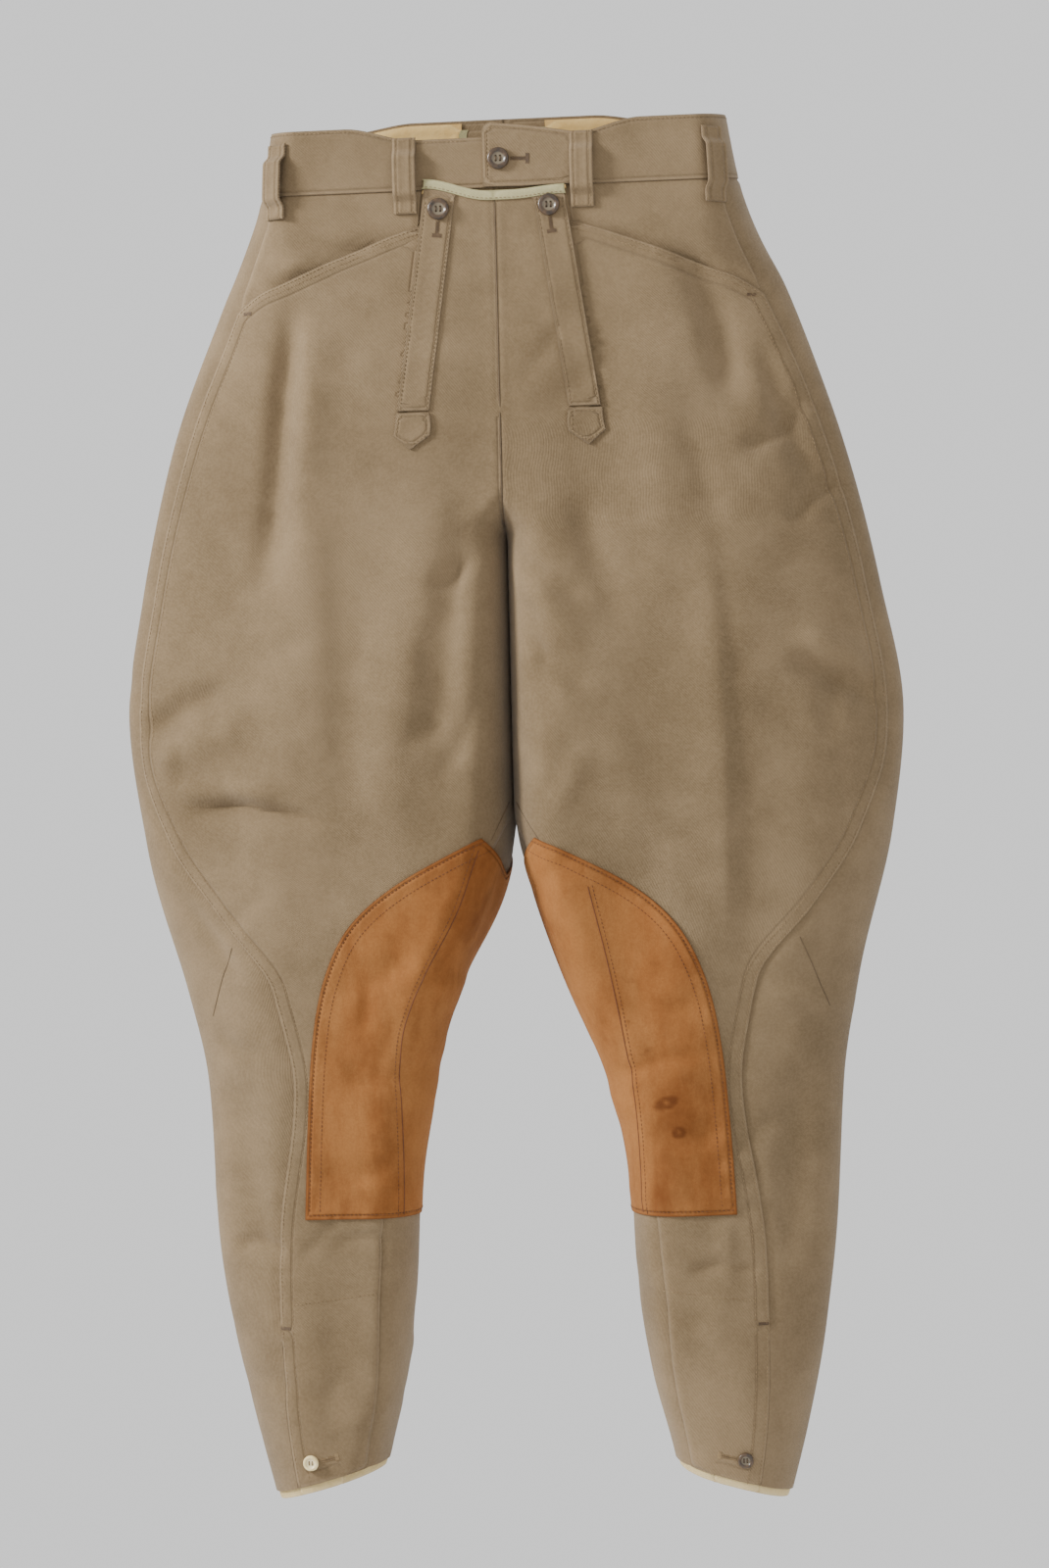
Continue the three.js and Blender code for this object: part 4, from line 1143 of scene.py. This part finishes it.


# ---------------------------------------------------------------- fold points, and attaching the pieces


def fold_points():
    """For each joint: the two points between which the cloth turns."""
    y = -float(front_depth(FOLD_Z)) - 3
    ends = {"fall_flap": ((0, y, FOLD_Z - 2), (0, y, FOLD_Z + 4))}
    y = -WAIST_DEPTH - 3
    ends["waist_tab"] = ((TAB_END + 3, y, -20), (TAB_END - 5, y, -20))
    for word, side in SIDES.items():
        top = (side * CUFF_MIDDLE_X, -36, SLIT_TOP)
        ends[f"cuff_{word}"] = (top, (side * CUFF_MIDDLE_X, -36, SLIT_TOP - 70))
    return ends


FOLDS = fold_points()


def attach(obj, body):
    """Parents a piece to the breeches; a piece of a moving body only has its transform baked into its mesh."""
    if body == "breeches":
        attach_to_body(obj, body)
        return
    start, end = FOLDS[body]
    Vector(start) * MM
    Vector(end) * MM
    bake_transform(obj)


def stand_for(obj, body, nodes):
    """Attaches a piece and hides the CAD nodes that it stands for."""
    attach(obj, body)
    if nodes:
        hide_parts(*nodes)


def finished(obj, body, nodes):
    """Attaches a piece and hides the CAD nodes that it stands for."""
    stand_for(obj, body, nodes)


def narrow_tape(obj, body, nodes):
    """Attaches a narrow tape and returns it."""
    stand_for(obj, body, nodes)
    return obj


# ---------------------------------------------------------------- the cloth


def stain_marks(x, z):
    """Small worn marks and rings on the wearer's left strapping."""
    total = np.zeros_like(x)
    for cx, cz, rx, rz, lean, strength in (
        (103, -673, 11, 5.5, 0.4, 1.5), (111, -694, 6, 5, 0.3, 1.5), (78, -619, 3, 4, 0.0, 1.0),
        (84, -640, 9, 2.4, 0.1, 0.9), (79, -588, 8, 4, -0.5, 0.8), (92, -636, 4, 3, 0.0, 0.8),
    ):
        dx, dz = x - cx, z - cz
        along, over = dx + lean * dz, dz - lean * dx
        ring = np.sqrt((along / rx) ** 2 + (over / rz) ** 2)
        total += strength * np.exp(-(((ring - 0.55) / 0.5) ** 2))
    return total


def make_side(word, side):
    def make(name, *args, **kw):
        return piece(f"{name}_{word}_sewn", side, *args, **kw)

    def two(*names):
        return [f"{n}_{word}" for n in names]

    under_flap = lambda z, x: FOLD_Z - 4 < z < FOLD_Z + 3 and x < 62
    at_slit = lambda z, x: z < SLIT_TOP + 3 and x > cuff_fold(z) - 3
    obj = make("front_leg", front_outline(), CLOTH_LOOK,
               row=lambda z, x: np.where(x > (inseam_x(z) + outseam_x(z)) / 2, 9.5, 0.9),
               hidden=lambda t, z, x: under_flap(z, x) or at_slit(z, x) or x < inner(z) + 2)
    finished(obj, "breeches", two("front_hip", "front_thigh", "front_shin"))
    obj = make("back_leg", back_outline(), CLOTH_LOOK, offset=back_offset, grain=4.5,
               hidden=lambda t, z, x: t < 3.2 or t > 6 or z > -60)
    finished(obj, "breeches", two("back_seat", "back_thigh", "back_knee", "back_calf"))
    obj = make("yoke", yoke_outline(), CLOTH_LOOK, offset=yoke_offset, spacing=4.0)
    finished(obj, "breeches", two("pocket_yoke"))
    obj = make("bag", bag_outline(), LINING_LOOK, offset=-9.2, thick=bag_thick, spacing=6.0)
    finished(obj, "breeches", two("pocket_bag"))
    low, high = FOLD_Z - 14, -40
    bearer = np.vstack([
        across(0, float(flap_edge(low)) - 3, low),
        run(lambda z: flap_edge(z) - 3, low + 3, high),
        across(float(flap_edge(high)) - 5, 0, high),
        run(lambda z: 0 * z, high - 3, low + 3),
    ])
    obj = make("bearer", bearer, CLOTH_LOOK, offset=-STEP - 0.35, spacing=4.0)
    finished(obj, "breeches", two("bearer"))
    start = UNDERLAP_END + 0.3 if side > 0 else -UNDERLAP_END
    band = band_outline(float(tau_at(start, -20)), 6 - float(tau_at(0, -20)), 0, BAND_HEIGHT)
    obj = make("band", band, CLOTH_LOOK, thick=1.5, row=2.2, spacing=3.4)
    finished(obj, "breeches", two("waistband"))
    start, stop = float(tau_at(LINING_FRONT_X, -20)), 6 - float(tau_at(OUTLET_WIDTH, -20))
    lining = band_outline(start, stop, 2, BAND_HEIGHT)
    obj = make("band_lining", lining, LINING_LOOK, offset=-STEP, thick=0.9, spacing=4.5)
    finished(obj, "breeches", two("waistband_lining"))

    def back_strip(x0, x1, drop):
        tau = 6 - tau_at(np.linspace(x0, x1, 6), -20 + np.zeros(6))
        top = np.stack([tau, band_seam(tau) + BAND_HEIGHT - drop], 1)
        return np.vstack([top, run(lambda z: x1 + 0 * z, top[-1, 1] - 3, OUTLET_BOTTOM, back=True),
                          across(x1 - 2, x0, OUTLET_BOTTOM, back=True),
                          run(lambda z: x0 + 0 * z, OUTLET_BOTTOM + 3, top[0, 1] - 3, back=True)])

    for name, x0, x1 in (("outlet_tape", OUTLET_WIDTH - 5, OUTLET_WIDTH + 0.5), ("centre_tape", 0, 3)):
        obj = make(name, back_strip(x0, x1, 0.6), TAPE_LOOK, offset=-STEP - 0.75, thick=0.5,
                   spacing=3.0, grain=4.5)
        narrow_tape(obj, "breeches", [])
    obj = make("outlet", back_strip(0, OUTLET_WIDTH, 1), CLOTH_LOOK, offset=-STEP, spacing=5.0, grain=4.5)
    finished(obj, "breeches", two("back_outlet"))

    tape = flap_outline(side, 0, -0.6, -52, -0.5, BINDING_HEIGHT)
    tape = make("flap_tape", tape, TAPE_LOOK, offset=STEP * 1.5, thick=STEP + CLOTH + 0.1, spacing=1.8)
    narrow_tape(tape, "fall_flap", ["flap_binding"])
    flap = flap_outline(side, 0, 0, FOLD_Z - 2, 0.4)
    low_side = (flap[:, 1] < FOLD_Z + 0.6) & (surface(flap[:, 0], flap[:, 1])[:, 0] > 61)
    flap[:, 1] = np.where(low_side, FOLD_Z + 0.6, flap[:, 1])
    obj = make("flap", flap, CLOTH_LOOK, offset=flap_offset, spacing=2.8,
               hidden=lambda t, z, x: z < FOLD_Z + 2)
    finished(obj, "fall_flap", two("fall_flap"))
    strip = flap_outline(side, lambda z: flap_edge(z) - STRIP_WIDTH, 0, FOLD_Z + 0.8, BINDING_HEIGHT + 0.3)
    obj = make("flap_strip", strip, CLOTH_LOOK, row=1.8, spacing=2.8,
               offset=lambda t, z, e: flap_offset(t, z, e) + STEP)
    finished(obj, "fall_flap", two("flap_facing"))
    obj = make("strip_point", point_outline(), CLOTH_LOOK, row=2.4, spacing=2.2, offset=STEP + 0.3,
               thick=CLOTH + 0.6)
    finished(obj, "breeches", two("facing_point"))

    obj = make("strapping", strap_outline(), SUEDE_LOOK, offset=STEP, thick=1.3, row=2.6, spacing=3.4,
               marks=stain_marks)
    finished(obj, "breeches", two("knee_strap"))

    body = f"cuff_{word}"
    obj = make("cuff_flap", cuff_outline(cuff_fold, outseam_x, SLIT_TOP, 0), CLOTH_LOOK, row=9.5, spacing=3.2,
               hidden=lambda t, z, x: x < cuff_fold(z) + 3 or z > SLIT_TOP - 3)
    finished(obj, body, two("cuff_flap"))
    z0, z1 = level_at(cuff_fold), level_at(outseam_x)
    x0, x1 = float(cuff_fold(z0)) - 1.2, float(outseam_x(z1)) - 1
    tape = np.vstack([
        across(x0, x1, lambda x: hem_z(x) + TAPE_HEIGHT),
        across(x1, x0, lambda x: hem_z(x) - TAPE_SHOW),
    ])
    obj = make("cuff_tape", tape, HEM_TAPE_LOOK, offset=-0.78, thick=0.3, spacing=2.2)
    finished(obj, body, two("cuff_flap_tape"))
    underlap = cuff_outline(
        lambda z: outseam_x(z) - UNDERLAP_WIDTH, lambda z: outseam_x(z) + 4, SLIT_TOP + 8, 0)
    obj = make("cuff_underlap", underlap, CLOTH_LOOK, offset=-STEP, spacing=4.0)
    finished(obj, "breeches", two("cuff_underlap"))
    z1 = level_at(outseam_x)
    start, stop = float(tau_at(outseam_x(z1) - 8, z1)), 6 + float(tau_at(cuff_fold(z0) - 0.6, z0))
    band = round_hem(start, stop, -TAPE_SHOW, TAPE_HEIGHT)
    obj = make("hem_band", band, HEM_TAPE_LOOK, offset=-STEP, thick=0.8, spacing=3.0)
    finished(obj, "breeches", two("hem_tape"))


for word, side in SIDES.items():
    make_side(word, side)

tab_corner = 6
turn = np.linspace(math.pi, math.pi / 2, 7)
tab = np.vstack([
    np.stack([TAB_START + tab_corner + tab_corner * np.cos(turn),
              -tab_corner + tab_corner * np.sin(turn)], 1),
    [[20, -2.4], [40, -5.5], [57, -8.5], [57, -20]],
    [[57, -43.6], [40, -43.8], [20, -44.2], [TAB_START, -43.6]],
])
tab_piece = piece("tab_sewn", 1, on_front(tab), CLOTH_LOOK, offset=1.95, thick=2.0, row=3.0, spacing=3.0)
finished(tab_piece, "waist_tab", ["waistband_tab"])


# ---------------------------------------------------------------- belt loops


def frame_of(across_axis, up_axis, out_axis, place):
    rows = zip(across_axis, up_axis, out_axis, place)
    return Matrix((*rows, (0, 0, 0, 1)))


def seat_frame(side, tau, z, offset):
    """A turned frame on the cloth: X across, Y up the cloth, Z outwards."""
    tau, z = np.array([tau], float), np.array([z], float)
    spot = lay(side, tau, z, offset)[0]
    out = normal(tau, z)[0]
    out[0] *= side
    out = Vector(out)
    across_axis = Vector((0, 0, 1)).cross(out).normalized()
    up = out.cross(across_axis)
    return frame_of(across_axis, up, out, spot)


def loop_rise(up):
    """How far a belt loop stands off the cloth, from end to end."""
    half = LOOP_LENGTH / 2
    bow = smooth((half - 7 - np.abs(up)) / 7)
    return 1.9 + (LOOP_ROOM - 2.6) * bow + 0.5 * np.cos(up / half * math.pi / 2) * bow


def belt_loop(name, side, tau, node):
    """A doubled strap sewn down at both ends, bowed out between them."""
    half = LOOP_LENGTH / 2
    seat = seat_frame(side, tau, LOOP_TOP - half, 0)
    side_x = LOOP_WIDTH / 2
    columns = np.array([-8, -7.7, -7, -5.4, -3.6, -1.2, 1.2, 3.6, 5.4, 7, 7.7, 8.0])
    rows = np.linspace(-half, half, 44)
    thick = 2.2
    on_loop = lambda x, up, stand: seat @ Vector((x, up, float(loop_rise(np.array(up))) + stand))
    grid = []
    for face in (0.5, -0.5):
        for up in rows:
            for x in columns:
                edge = min(side_x - abs(x), half - abs(up))
                rounding = 0.45 * max(0.0, 1 - edge / 0.9) ** 2
                grid.append(on_loop(x, up, face * (thick - 2 * rounding)))
    wide, tall = len(columns), len(rows)
    at = lambda face, r, c: face * wide * tall + r * wide + c
    faces = []
    for r in range(tall - 1):
        for c in range(wide - 1):
            faces.append((at(0, r, c), at(0, r, c + 1), at(0, r + 1, c + 1), at(0, r + 1, c)))
            faces.append((at(1, r, c), at(1, r + 1, c), at(1, r + 1, c + 1), at(1, r, c + 1)))
        faces.append((at(0, r, 0), at(0, r + 1, 0), at(1, r + 1, 0), at(1, r, 0)))
        last = wide - 1
        faces.append((at(0, r, last), at(1, r, last), at(1, r + 1, last), at(0, r + 1, last)))
    for c in range(wide - 1):
        faces.append((at(0, 0, c), at(1, 0, c), at(1, 0, c + 1), at(0, 0, c + 1)))
        last = tall - 1
        faces.append((at(0, last, c), at(0, last, c + 1), at(1, last, c + 1), at(1, last, c)))
    mesh = bpy.data.meshes.new(name)
    mesh.from_pydata([tuple(p * MM) for p in grid], [], faces)
    mesh.shade_smooth()
    mesh.set_sharp_from_angle(angle=math.radians(55))
    local = [(x * MM, up * MM) for _ in (0, 1) for up in rows for x in columns]
    layer = mesh.uv_layers.new(name="weave")
    for loop in mesh.loops:
        layer.data[loop.index].uv = local[loop.vertex_index]
    edge = [min(side_x - abs(x) * 1000, half + 3 - abs(up) * 1000) for x, up in local]
    set_floats(mesh, "edge", np.maximum(edge, 0))
    set_floats(mesh, "row", np.full(len(grid), 3.0))
    set_floats(mesh, "mark", np.zeros(len(grid)))
    obj = link(name, mesh, CLOTH_LOOK)
    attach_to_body(obj, "breeches")
    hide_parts(node)
    for x in (-5.2, 5.2):
        ups = np.linspace(-half + 1, half - 1, 40)
        remember("row", "khaki", "breeches", [tuple(on_loop(x, up, thick / 2)) for up in ups])
    for up in (-half + 2.2, half - 2.2):
        xs = np.linspace(-6.5, 6.5, 12)
        remember("row", "khaki", "breeches", [tuple(on_loop(x, up, thick / 2)) for x in xs])


loop_z = LOOP_TOP - LOOP_LENGTH / 2
for word, side in SIDES.items():
    for where, x in (("front", 61), ("side", 150), ("back", 66)):
        tau = float(tau_at(x, loop_z))
        tau = 6 - tau if where == "back" else tau
        belt_loop(f"{where}_loop_{word}_sewn", side, tau, f"belt_loop_{where}_{word}")

# ---------------------------------------------------------------- buttons and buttonholes

BUTTON_PROFILE = [
    (0.0, 0.64), (0.30, 0.64), (0.46, 0.66), (0.56, 0.74), (0.63, 0.92), (0.70, 1.0), (0.80, 1.0),
    (0.90, 0.93), (0.97, 0.74), (1.0, 0.48), (0.97, 0.24), (0.86, 0.06), (0.72, 0.0), (0.0, 0.0),
]
BUTTON_THICK = 3.0
EYE_SPREAD = 1.5
EYE_RADIUS = 0.75


def button(name, side, place, diameter, sewn_to, stand, material, node, colour):
    """A turned button with four eyes cut through it, and the thread that holds it."""
    x, z = place
    seat = seat_frame(side, float(tau_at(x, z)), z, sewn_to + stand)
    radius = diameter / 2
    shape = bmesh.new()
    steps = 56
    rings = []
    for out, up in BUTTON_PROFILE[1:-1]:
        ring_of = []
        for i in range(steps):
            a = 2 * math.pi * i / steps
            corner = (out * radius * math.cos(a), out * radius * math.sin(a), up * BUTTON_THICK)
            ring_of.append(shape.verts.new(corner))
        rings.append(ring_of)
    for upper, lower in zip(rings, rings[1:]):
        for i in range(steps):
            j = (i + 1) % steps
            shape.faces.new((upper[i], lower[i], lower[j], upper[j]))
    shape.faces.new(rings[0])
    shape.faces.new(list(reversed(rings[-1])))
    bmesh.ops.recalc_face_normals(shape, faces=shape.faces)
    mesh = bpy.data.meshes.new(name)
    shape.to_mesh(mesh)
    shape.free()
    disc = add_object(name, mesh)
    cutter_shape = bmesh.new()
    spread = EYE_SPREAD * diameter / BIG_BUTTON
    eye = EYE_RADIUS * diameter / BIG_BUTTON
    for dx in (-spread, spread):
        for dy in (-spread, spread):
            bmesh.ops.create_cone(cutter_shape, cap_ends=True, segments=16, radius1=eye, radius2=eye,
                                  depth=BUTTON_THICK * 3, matrix=Matrix.Translation((dx, dy, 1.5)))
    cutter_mesh = bpy.data.meshes.new("eyes")
    cutter_shape.to_mesh(cutter_mesh)
    cutter_shape.free()
    cutter = add_object("eyes", cutter_mesh)
    cut = disc.modifiers.new("eyes", "BOOLEAN")
    cut.operation, cut.object, cut.solver = "DIFFERENCE", cutter, "EXACT"
    graph = bpy.context.evaluated_depsgraph_get()
    made = bpy.data.meshes.new_from_object(disc.evaluated_get(graph))
    disc.modifiers.remove(cut)
    bpy.data.objects.remove(disc)
    bpy.data.objects.remove(cutter)
    made.name = name
    rim = [math.hypot(v.co.x, v.co.y) / radius for v in made.vertices]
    made.transform(Matrix.Scale(MM, 4) @ seat)
    made.shade_smooth()
    made.set_sharp_from_angle(angle=math.radians(40))
    set_floats(made, "rim", rim)
    made.materials.clear()
    obj = link(name, made, material)
    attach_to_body(obj, "breeches")
    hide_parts(node)
    level = 0.64 * BUTTON_THICK + 0.25
    for dx in (-spread, spread):
        for shift in (-0.22, 0.22):
            path = [(-spread, -0.5), (-spread * 0.9, level), (0, level + 0.2), (spread * 0.9, level), (spread, -0.5)]
            ends = [seat @ Vector((dx + shift, y, rise)) for y, rise in path]
            remember("thread", colour, "breeches", [tuple(end) for end in ends])
    for i in range(6):
        a = i * math.pi / 3
        foot = [(1.0 * math.cos(a), 1.0 * math.sin(a), -stand), (0.8 * math.cos(a), 0.8 * math.sin(a), 0.2)]
        remember("thread", colour, "breeches", [tuple(seat @ Vector(e)) for e in foot])


def buttonhole(body, side, start, stop, offset, bar, colour="khaki"):
    """A slit worked with close stitches from start to stop, as (x, z), and a bar at its end."""
    start, stop = np.array(start, float), np.array(stop, float)
    along = (stop - start) / np.linalg.norm(stop - start)
    over = np.array([-along[1], along[0]])
    length = np.linalg.norm(stop - start)

    def place(point):
        tau = tau_at(point[0], point[1])
        off = value_at(offset, np.array([tau]), np.array([point[1]]), FAR)
        return lay(side, np.array([tau]), np.array([point[1]]), off)[0]

    for i in range(int(length / 0.55)):
        at = start + along * i * 0.55
        for hand in (-1, 1):
            remember("thread", colour, body, [place(at + over * hand * 0.18), place(at + over * hand * 1.25)])
    for i in range(9):
        end = stop + along * (i - 4) * 0.28
        remember("thread", colour, body, [place(end - over * bar / 2), place(end + over * bar / 2)])
    remember("thread", "brown", body, [place(start), place(stop)])


TAB_FACE = 1.95 + 1.0
button("waist_button_turned", 1, WAIST_BUTTON, BIG_BUTTON, CLOTH / 2, TAB_FACE + 0.3 - CLOTH / 2,
       DARK_HORN, "waist_button", "brown")
buttonhole("waist_tab", 1, (12.5, -25.2), (24, -25.6), TAB_FACE + 0.1, 7, "brown")
for word, side in SIDES.items():
    button(f"flap_button_{word}_turned", side, FLAP_BUTTON, BIG_BUTTON, -STEP + CLOTH / 2, 3 * STEP + 0.3,
           DARK_HORN, f"flap_button_{word}", "brown")
    strip_face = lambda t, z, e: flap_offset(t, z, e) + STEP + CLOTH / 2 + 0.1
    buttonhole("fall_flap", side, (38.6, -66.5), (39.6, -76), strip_face, 6.5, "brown")
    look, colour = (DARK_HORN, "brown") if side > 0 else (PALE_HORN, "khaki")
    button(f"cuff_button_{word}_turned", side, CUFF_BUTTON, SMALL_BUTTON, -STEP + CLOTH / 2, STEP + 0.35,
           look, f"cuff_button_{word}", colour)
    body = f"cuff_{word}"
    buttonhole(body, side, (143.5, -919), (132.5, -916.5), CLOTH / 2 + 0.1, 5, "khaki")

# ---------------------------------------------------------------- rows of sewing

FACE = CLOTH / 2 + 0.08
STRAP_FACE = STEP + 0.75
BAND_FACE = 0.75 + 0.08


def bartack(body, side, x, z, width, offset=FACE, colour="brown"):
    for i in range(7):
        points = on_front([(x + shift, z + (i - 3) * 0.3) for shift in (-width / 2, 0, width / 2)])
        off = value_at(offset, points[:, 0], points[:, 1], FAR)
        remember("thread", colour, body, lay(side, points[:, 0], points[:, 1], off))


def sew_side(word, side):
    cuff = f"cuff_{word}"
    top = MOUTH[-1, 1] - 4
    for gap in (2.0, 9.5):
        sew("breeches", side, run(lambda z: outseam_x(z) - gap, top, SLIT_TOP + 2), FACE)
        sew(cuff, side, run(lambda z: outseam_x(z) - gap, SLIT_TOP - 2, HEM_Z - 2), FACE)
    sew("breeches", side, on_front(inset(MOUTH, 5.0)), FACE)
    sew("breeches", side, on_front(inset(MOUTH, 1.6)), FACE)
    strip_face = lambda t, z, e: flap_offset(t, z, e) + STEP + FACE
    for gap in (1.9, STRIP_WIDTH - 1.9):
        sew("fall_flap", side, run(lambda z: flap_edge(z) - gap, -53.5, FOLD_Z + 3), strip_face)
    under_binding = across(2, 46, lambda x: flap_top(x * side) - BINDING_HEIGHT + 1.2)
    sew("fall_flap", side, under_binding, STEP * 2 + FACE)
    x0, x1 = FLAP_HALF_FOLD - STRIP_WIDTH + 2.2, FLAP_HALF_FOLD - 1.2
    tip = ((x0 + x1) / 2 + 1, FOLD_Z - POINT_LENGTH + 3)
    high, shoulder = FOLD_Z - 3, FOLD_Z - POINT_SHOULDER - 0.5
    point = [(x0, high), (x0, shoulder), tip, (x1 + 2, shoulder), (x1, high), (x0, high)]
    dense = []
    for a, b in zip(point, point[1:]):
        dense.extend(np.linspace(a, b, 8)[:-1])
    sew("breeches", side, on_front(np.array(dense)), STEP + 0.3 + 0.95)
    front, back = through(STRAP_FRONT, 80), through(STRAP_BACK, 80)
    for gap in (2.6, 10.0):
        ahead = inset(front, gap)
        ahead = ahead[(ahead[:, 1] > STRAP_BOTTOM + 3) & (ahead[:, 0] > inner(ahead[:, 1]) + 4)]
        sew("breeches", side, on_front(ahead), STRAP_FACE, "tan")
        behind = inset(back, gap)
        behind = behind[(behind[:, 1] > STRAP_BOTTOM + 3) & (behind[:, 0] > inner(behind[:, 1]) + 4)]
        points = on_front(behind)
        points[:, 0] = 6 - points[:, 0]
        sew("breeches", side, points, STRAP_FACE, "tan")
    tau = np.linspace(float(tau_at(146, STRAP_BOTTOM)), -float(tau_at(107, STRAP_BOTTOM)), 70)
    sew("breeches", side, np.stack([tau, STRAP_BOTTOM + 3 + 0 * tau], 1), STRAP_FACE, "tan")
    calf = np.linspace(float(inseam_x(-805)), float(outseam_x(-805)) - 10, 30)
    sew("breeches", side, on_front(np.stack([calf, -803 - 0.12 * (calf - 100)], 1)), FACE)
    start = UNDERLAP_END + 20 if side > 0 else 8
    tau = np.linspace(float(tau_at(max(start, 20), -42)), 6 - float(tau_at(3, -42)), 240)
    sew("breeches", side, np.stack([tau, band_seam(tau) + BAND_HEIGHT + band_sag(tau) - 2.2], 1), BAND_FACE)
    bartack("breeches", side, float(outseam_x(SLIT_TOP)) - 4, SLIT_TOP + 1.5, 7)
    bartack("breeches", side, float(MOUTH[-1, 0]) - 6, float(MOUTH[-1, 1]) - 3, 6)


def seam_shade_line(side, points, offset=FACE, colour="seam", body="breeches", back=False):
    """A dark tube sunk along a plain seam: painted shade standing in for the shadow in the seam's narrow valley."""
    rows = on_front(through(points, 60))
    if back:
        rows[:, 0] = 6 - rows[:, 0]
    off = value_at(offset, rows[:, 0], rows[:, 1], FAR)
    remember("seam", colour, body, lay(side, rows[:, 0], rows[:, 1], off - 0.1))


for word, side in SIDES.items():
    sew_side(word, side)
    knee = [(196, -562), (205, -584), (214, -610)]
    seam_shade_line(side, knee)
    line = [(22, -498), (37, -541), (66, -600), (79, -647), (84, -749)] if side < 0 else [
        (54, -524), (65, -574), (75, -629), (83, -681), (87, -749)]
    seam_shade_line(side, line, STRAP_FACE, "suede_seam")
    rows = on_front(through(line, 80) + np.array([3.0, 0]))
    sew("breeches", side, rows, STRAP_FACE, "tan")
    seam_shade_line(side, [(4, -466), (14, -492)] if side < 0 else [(6, -466), (25, -495)])
seam_shade_line(1, [(0.6, -52), (0.6, -120), (0.6, FOLD_Z + 2)],
          lambda t, z, e: flap_offset(t, z, e) + FACE, body="fall_flap")
seam_shade_line(1, [(0.6, FOLD_Z - 2), (0.8, -240), (1.0, CROTCH_Z + 4)])
seam_shade_line(1, [(0.6, -38), (0.6, -120), (0.8, -210), (1.0, CROTCH_Z + 4)], back=True)
tab_row = np.array([(47, -9.4), (20, -5.4), (0, -3.4), (-4, -6), (-4, -38), (-2, -40.6), (47, -40.8)], float)
dense = np.vstack([np.linspace(a, b, 14) for a, b in zip(tab_row, tab_row[1:])])
sew("waist_tab", 1, on_front(dense), TAB_FACE + 0.08)

ROW_SIZES = {"Pitch": 2.9 * MM, "Length": 2.2 * MM, "Width": 0.5 * MM}
THREAD_SIZES = {"thread": {"Width": 0.42 * MM}, "seam": {"Width": 0.75 * MM}}
for kind, colour, body in sorted(lines):
    sizes, tree = (ROW_SIZES, SEWN_ROWS) if kind == "row" else (THREAD_SIZES[kind], THREAD_TUBES)
    attach(work(kind, colour, body, sizes, tree), body)

# ---------------------------------------------------------------- floor, light and camera

FLOOR_Z = -1.3
bpy.ops.mesh.primitive_circle_add(vertices=96, radius=1.0, fill_type="NGON", location=(0, 0, FLOOR_Z))
floor = bpy.context.object
floor.name = "pale_floor"
floor_look, n, shader = start_material("pale_floor", Roughness=0.9)
shader.inputs["Base Color"].default_value = (0.86, 0.86, 0.86, 1)
floor.data.materials.append(floor_look)

world = bpy.data.worlds.new("studio")
world.use_nodes = True
world.node_tree.nodes["Background"].inputs[0].default_value = (1.0, 1.0, 1.0, 1)
world.node_tree.nodes["Background"].inputs[1].default_value = 1.0
bpy.context.scene.world = world


def soft_light(name, place, aim, size, power):
    data = bpy.data.lights.new(name, "AREA")
    data.size, data.energy = size, power
    lamp = add_object(name, data)
    direction = Vector(aim) - Vector(place)
    lamp.matrix_world = Matrix.Translation(place) @ direction.to_track_quat("-Z", "Y").to_matrix().to_4x4()


soft_light("key", (-2.3, -1.0, 0.8), (0, 0, -0.45), 0.6, 125)
soft_light("fill", (1.8, -2.2, 0.1), (0, 0, -0.5), 1.6, 6)
soft_light("back", (0.6, 2.4, 0.9), (0, 0, -0.4), 1.6, 20)

AZIMUTH, ELEVATION, ROLL = math.radians(6), math.radians(0.84), math.radians(-1.482)
DISTANCE = 2.4
CENTRE = Vector((0, 0, -0.470))
AIM = Vector((0.0068, 0, -0.4538))
view_from = CENTRE + DISTANCE * Vector((
    math.sin(AZIMUTH) * math.cos(ELEVATION), -math.cos(AZIMUTH) * math.cos(ELEVATION), math.sin(ELEVATION)))
back_axis = (view_from - AIM).normalized()
right_axis = Vector((0, 0, 1)).cross(back_axis).normalized()
up_axis = back_axis.cross(right_axis)
right = right_axis * math.cos(ROLL) + up_axis * math.sin(ROLL)
up = up_axis * math.cos(ROLL) - right_axis * math.sin(ROLL)
camera_data = bpy.data.cameras.new("camera")
camera_data.sensor_width = 36
camera_data.lens = 79.0
camera = add_object("camera", camera_data)
camera.matrix_world = frame_of(right, up, back_axis, view_from)
bpy.context.scene.camera = camera
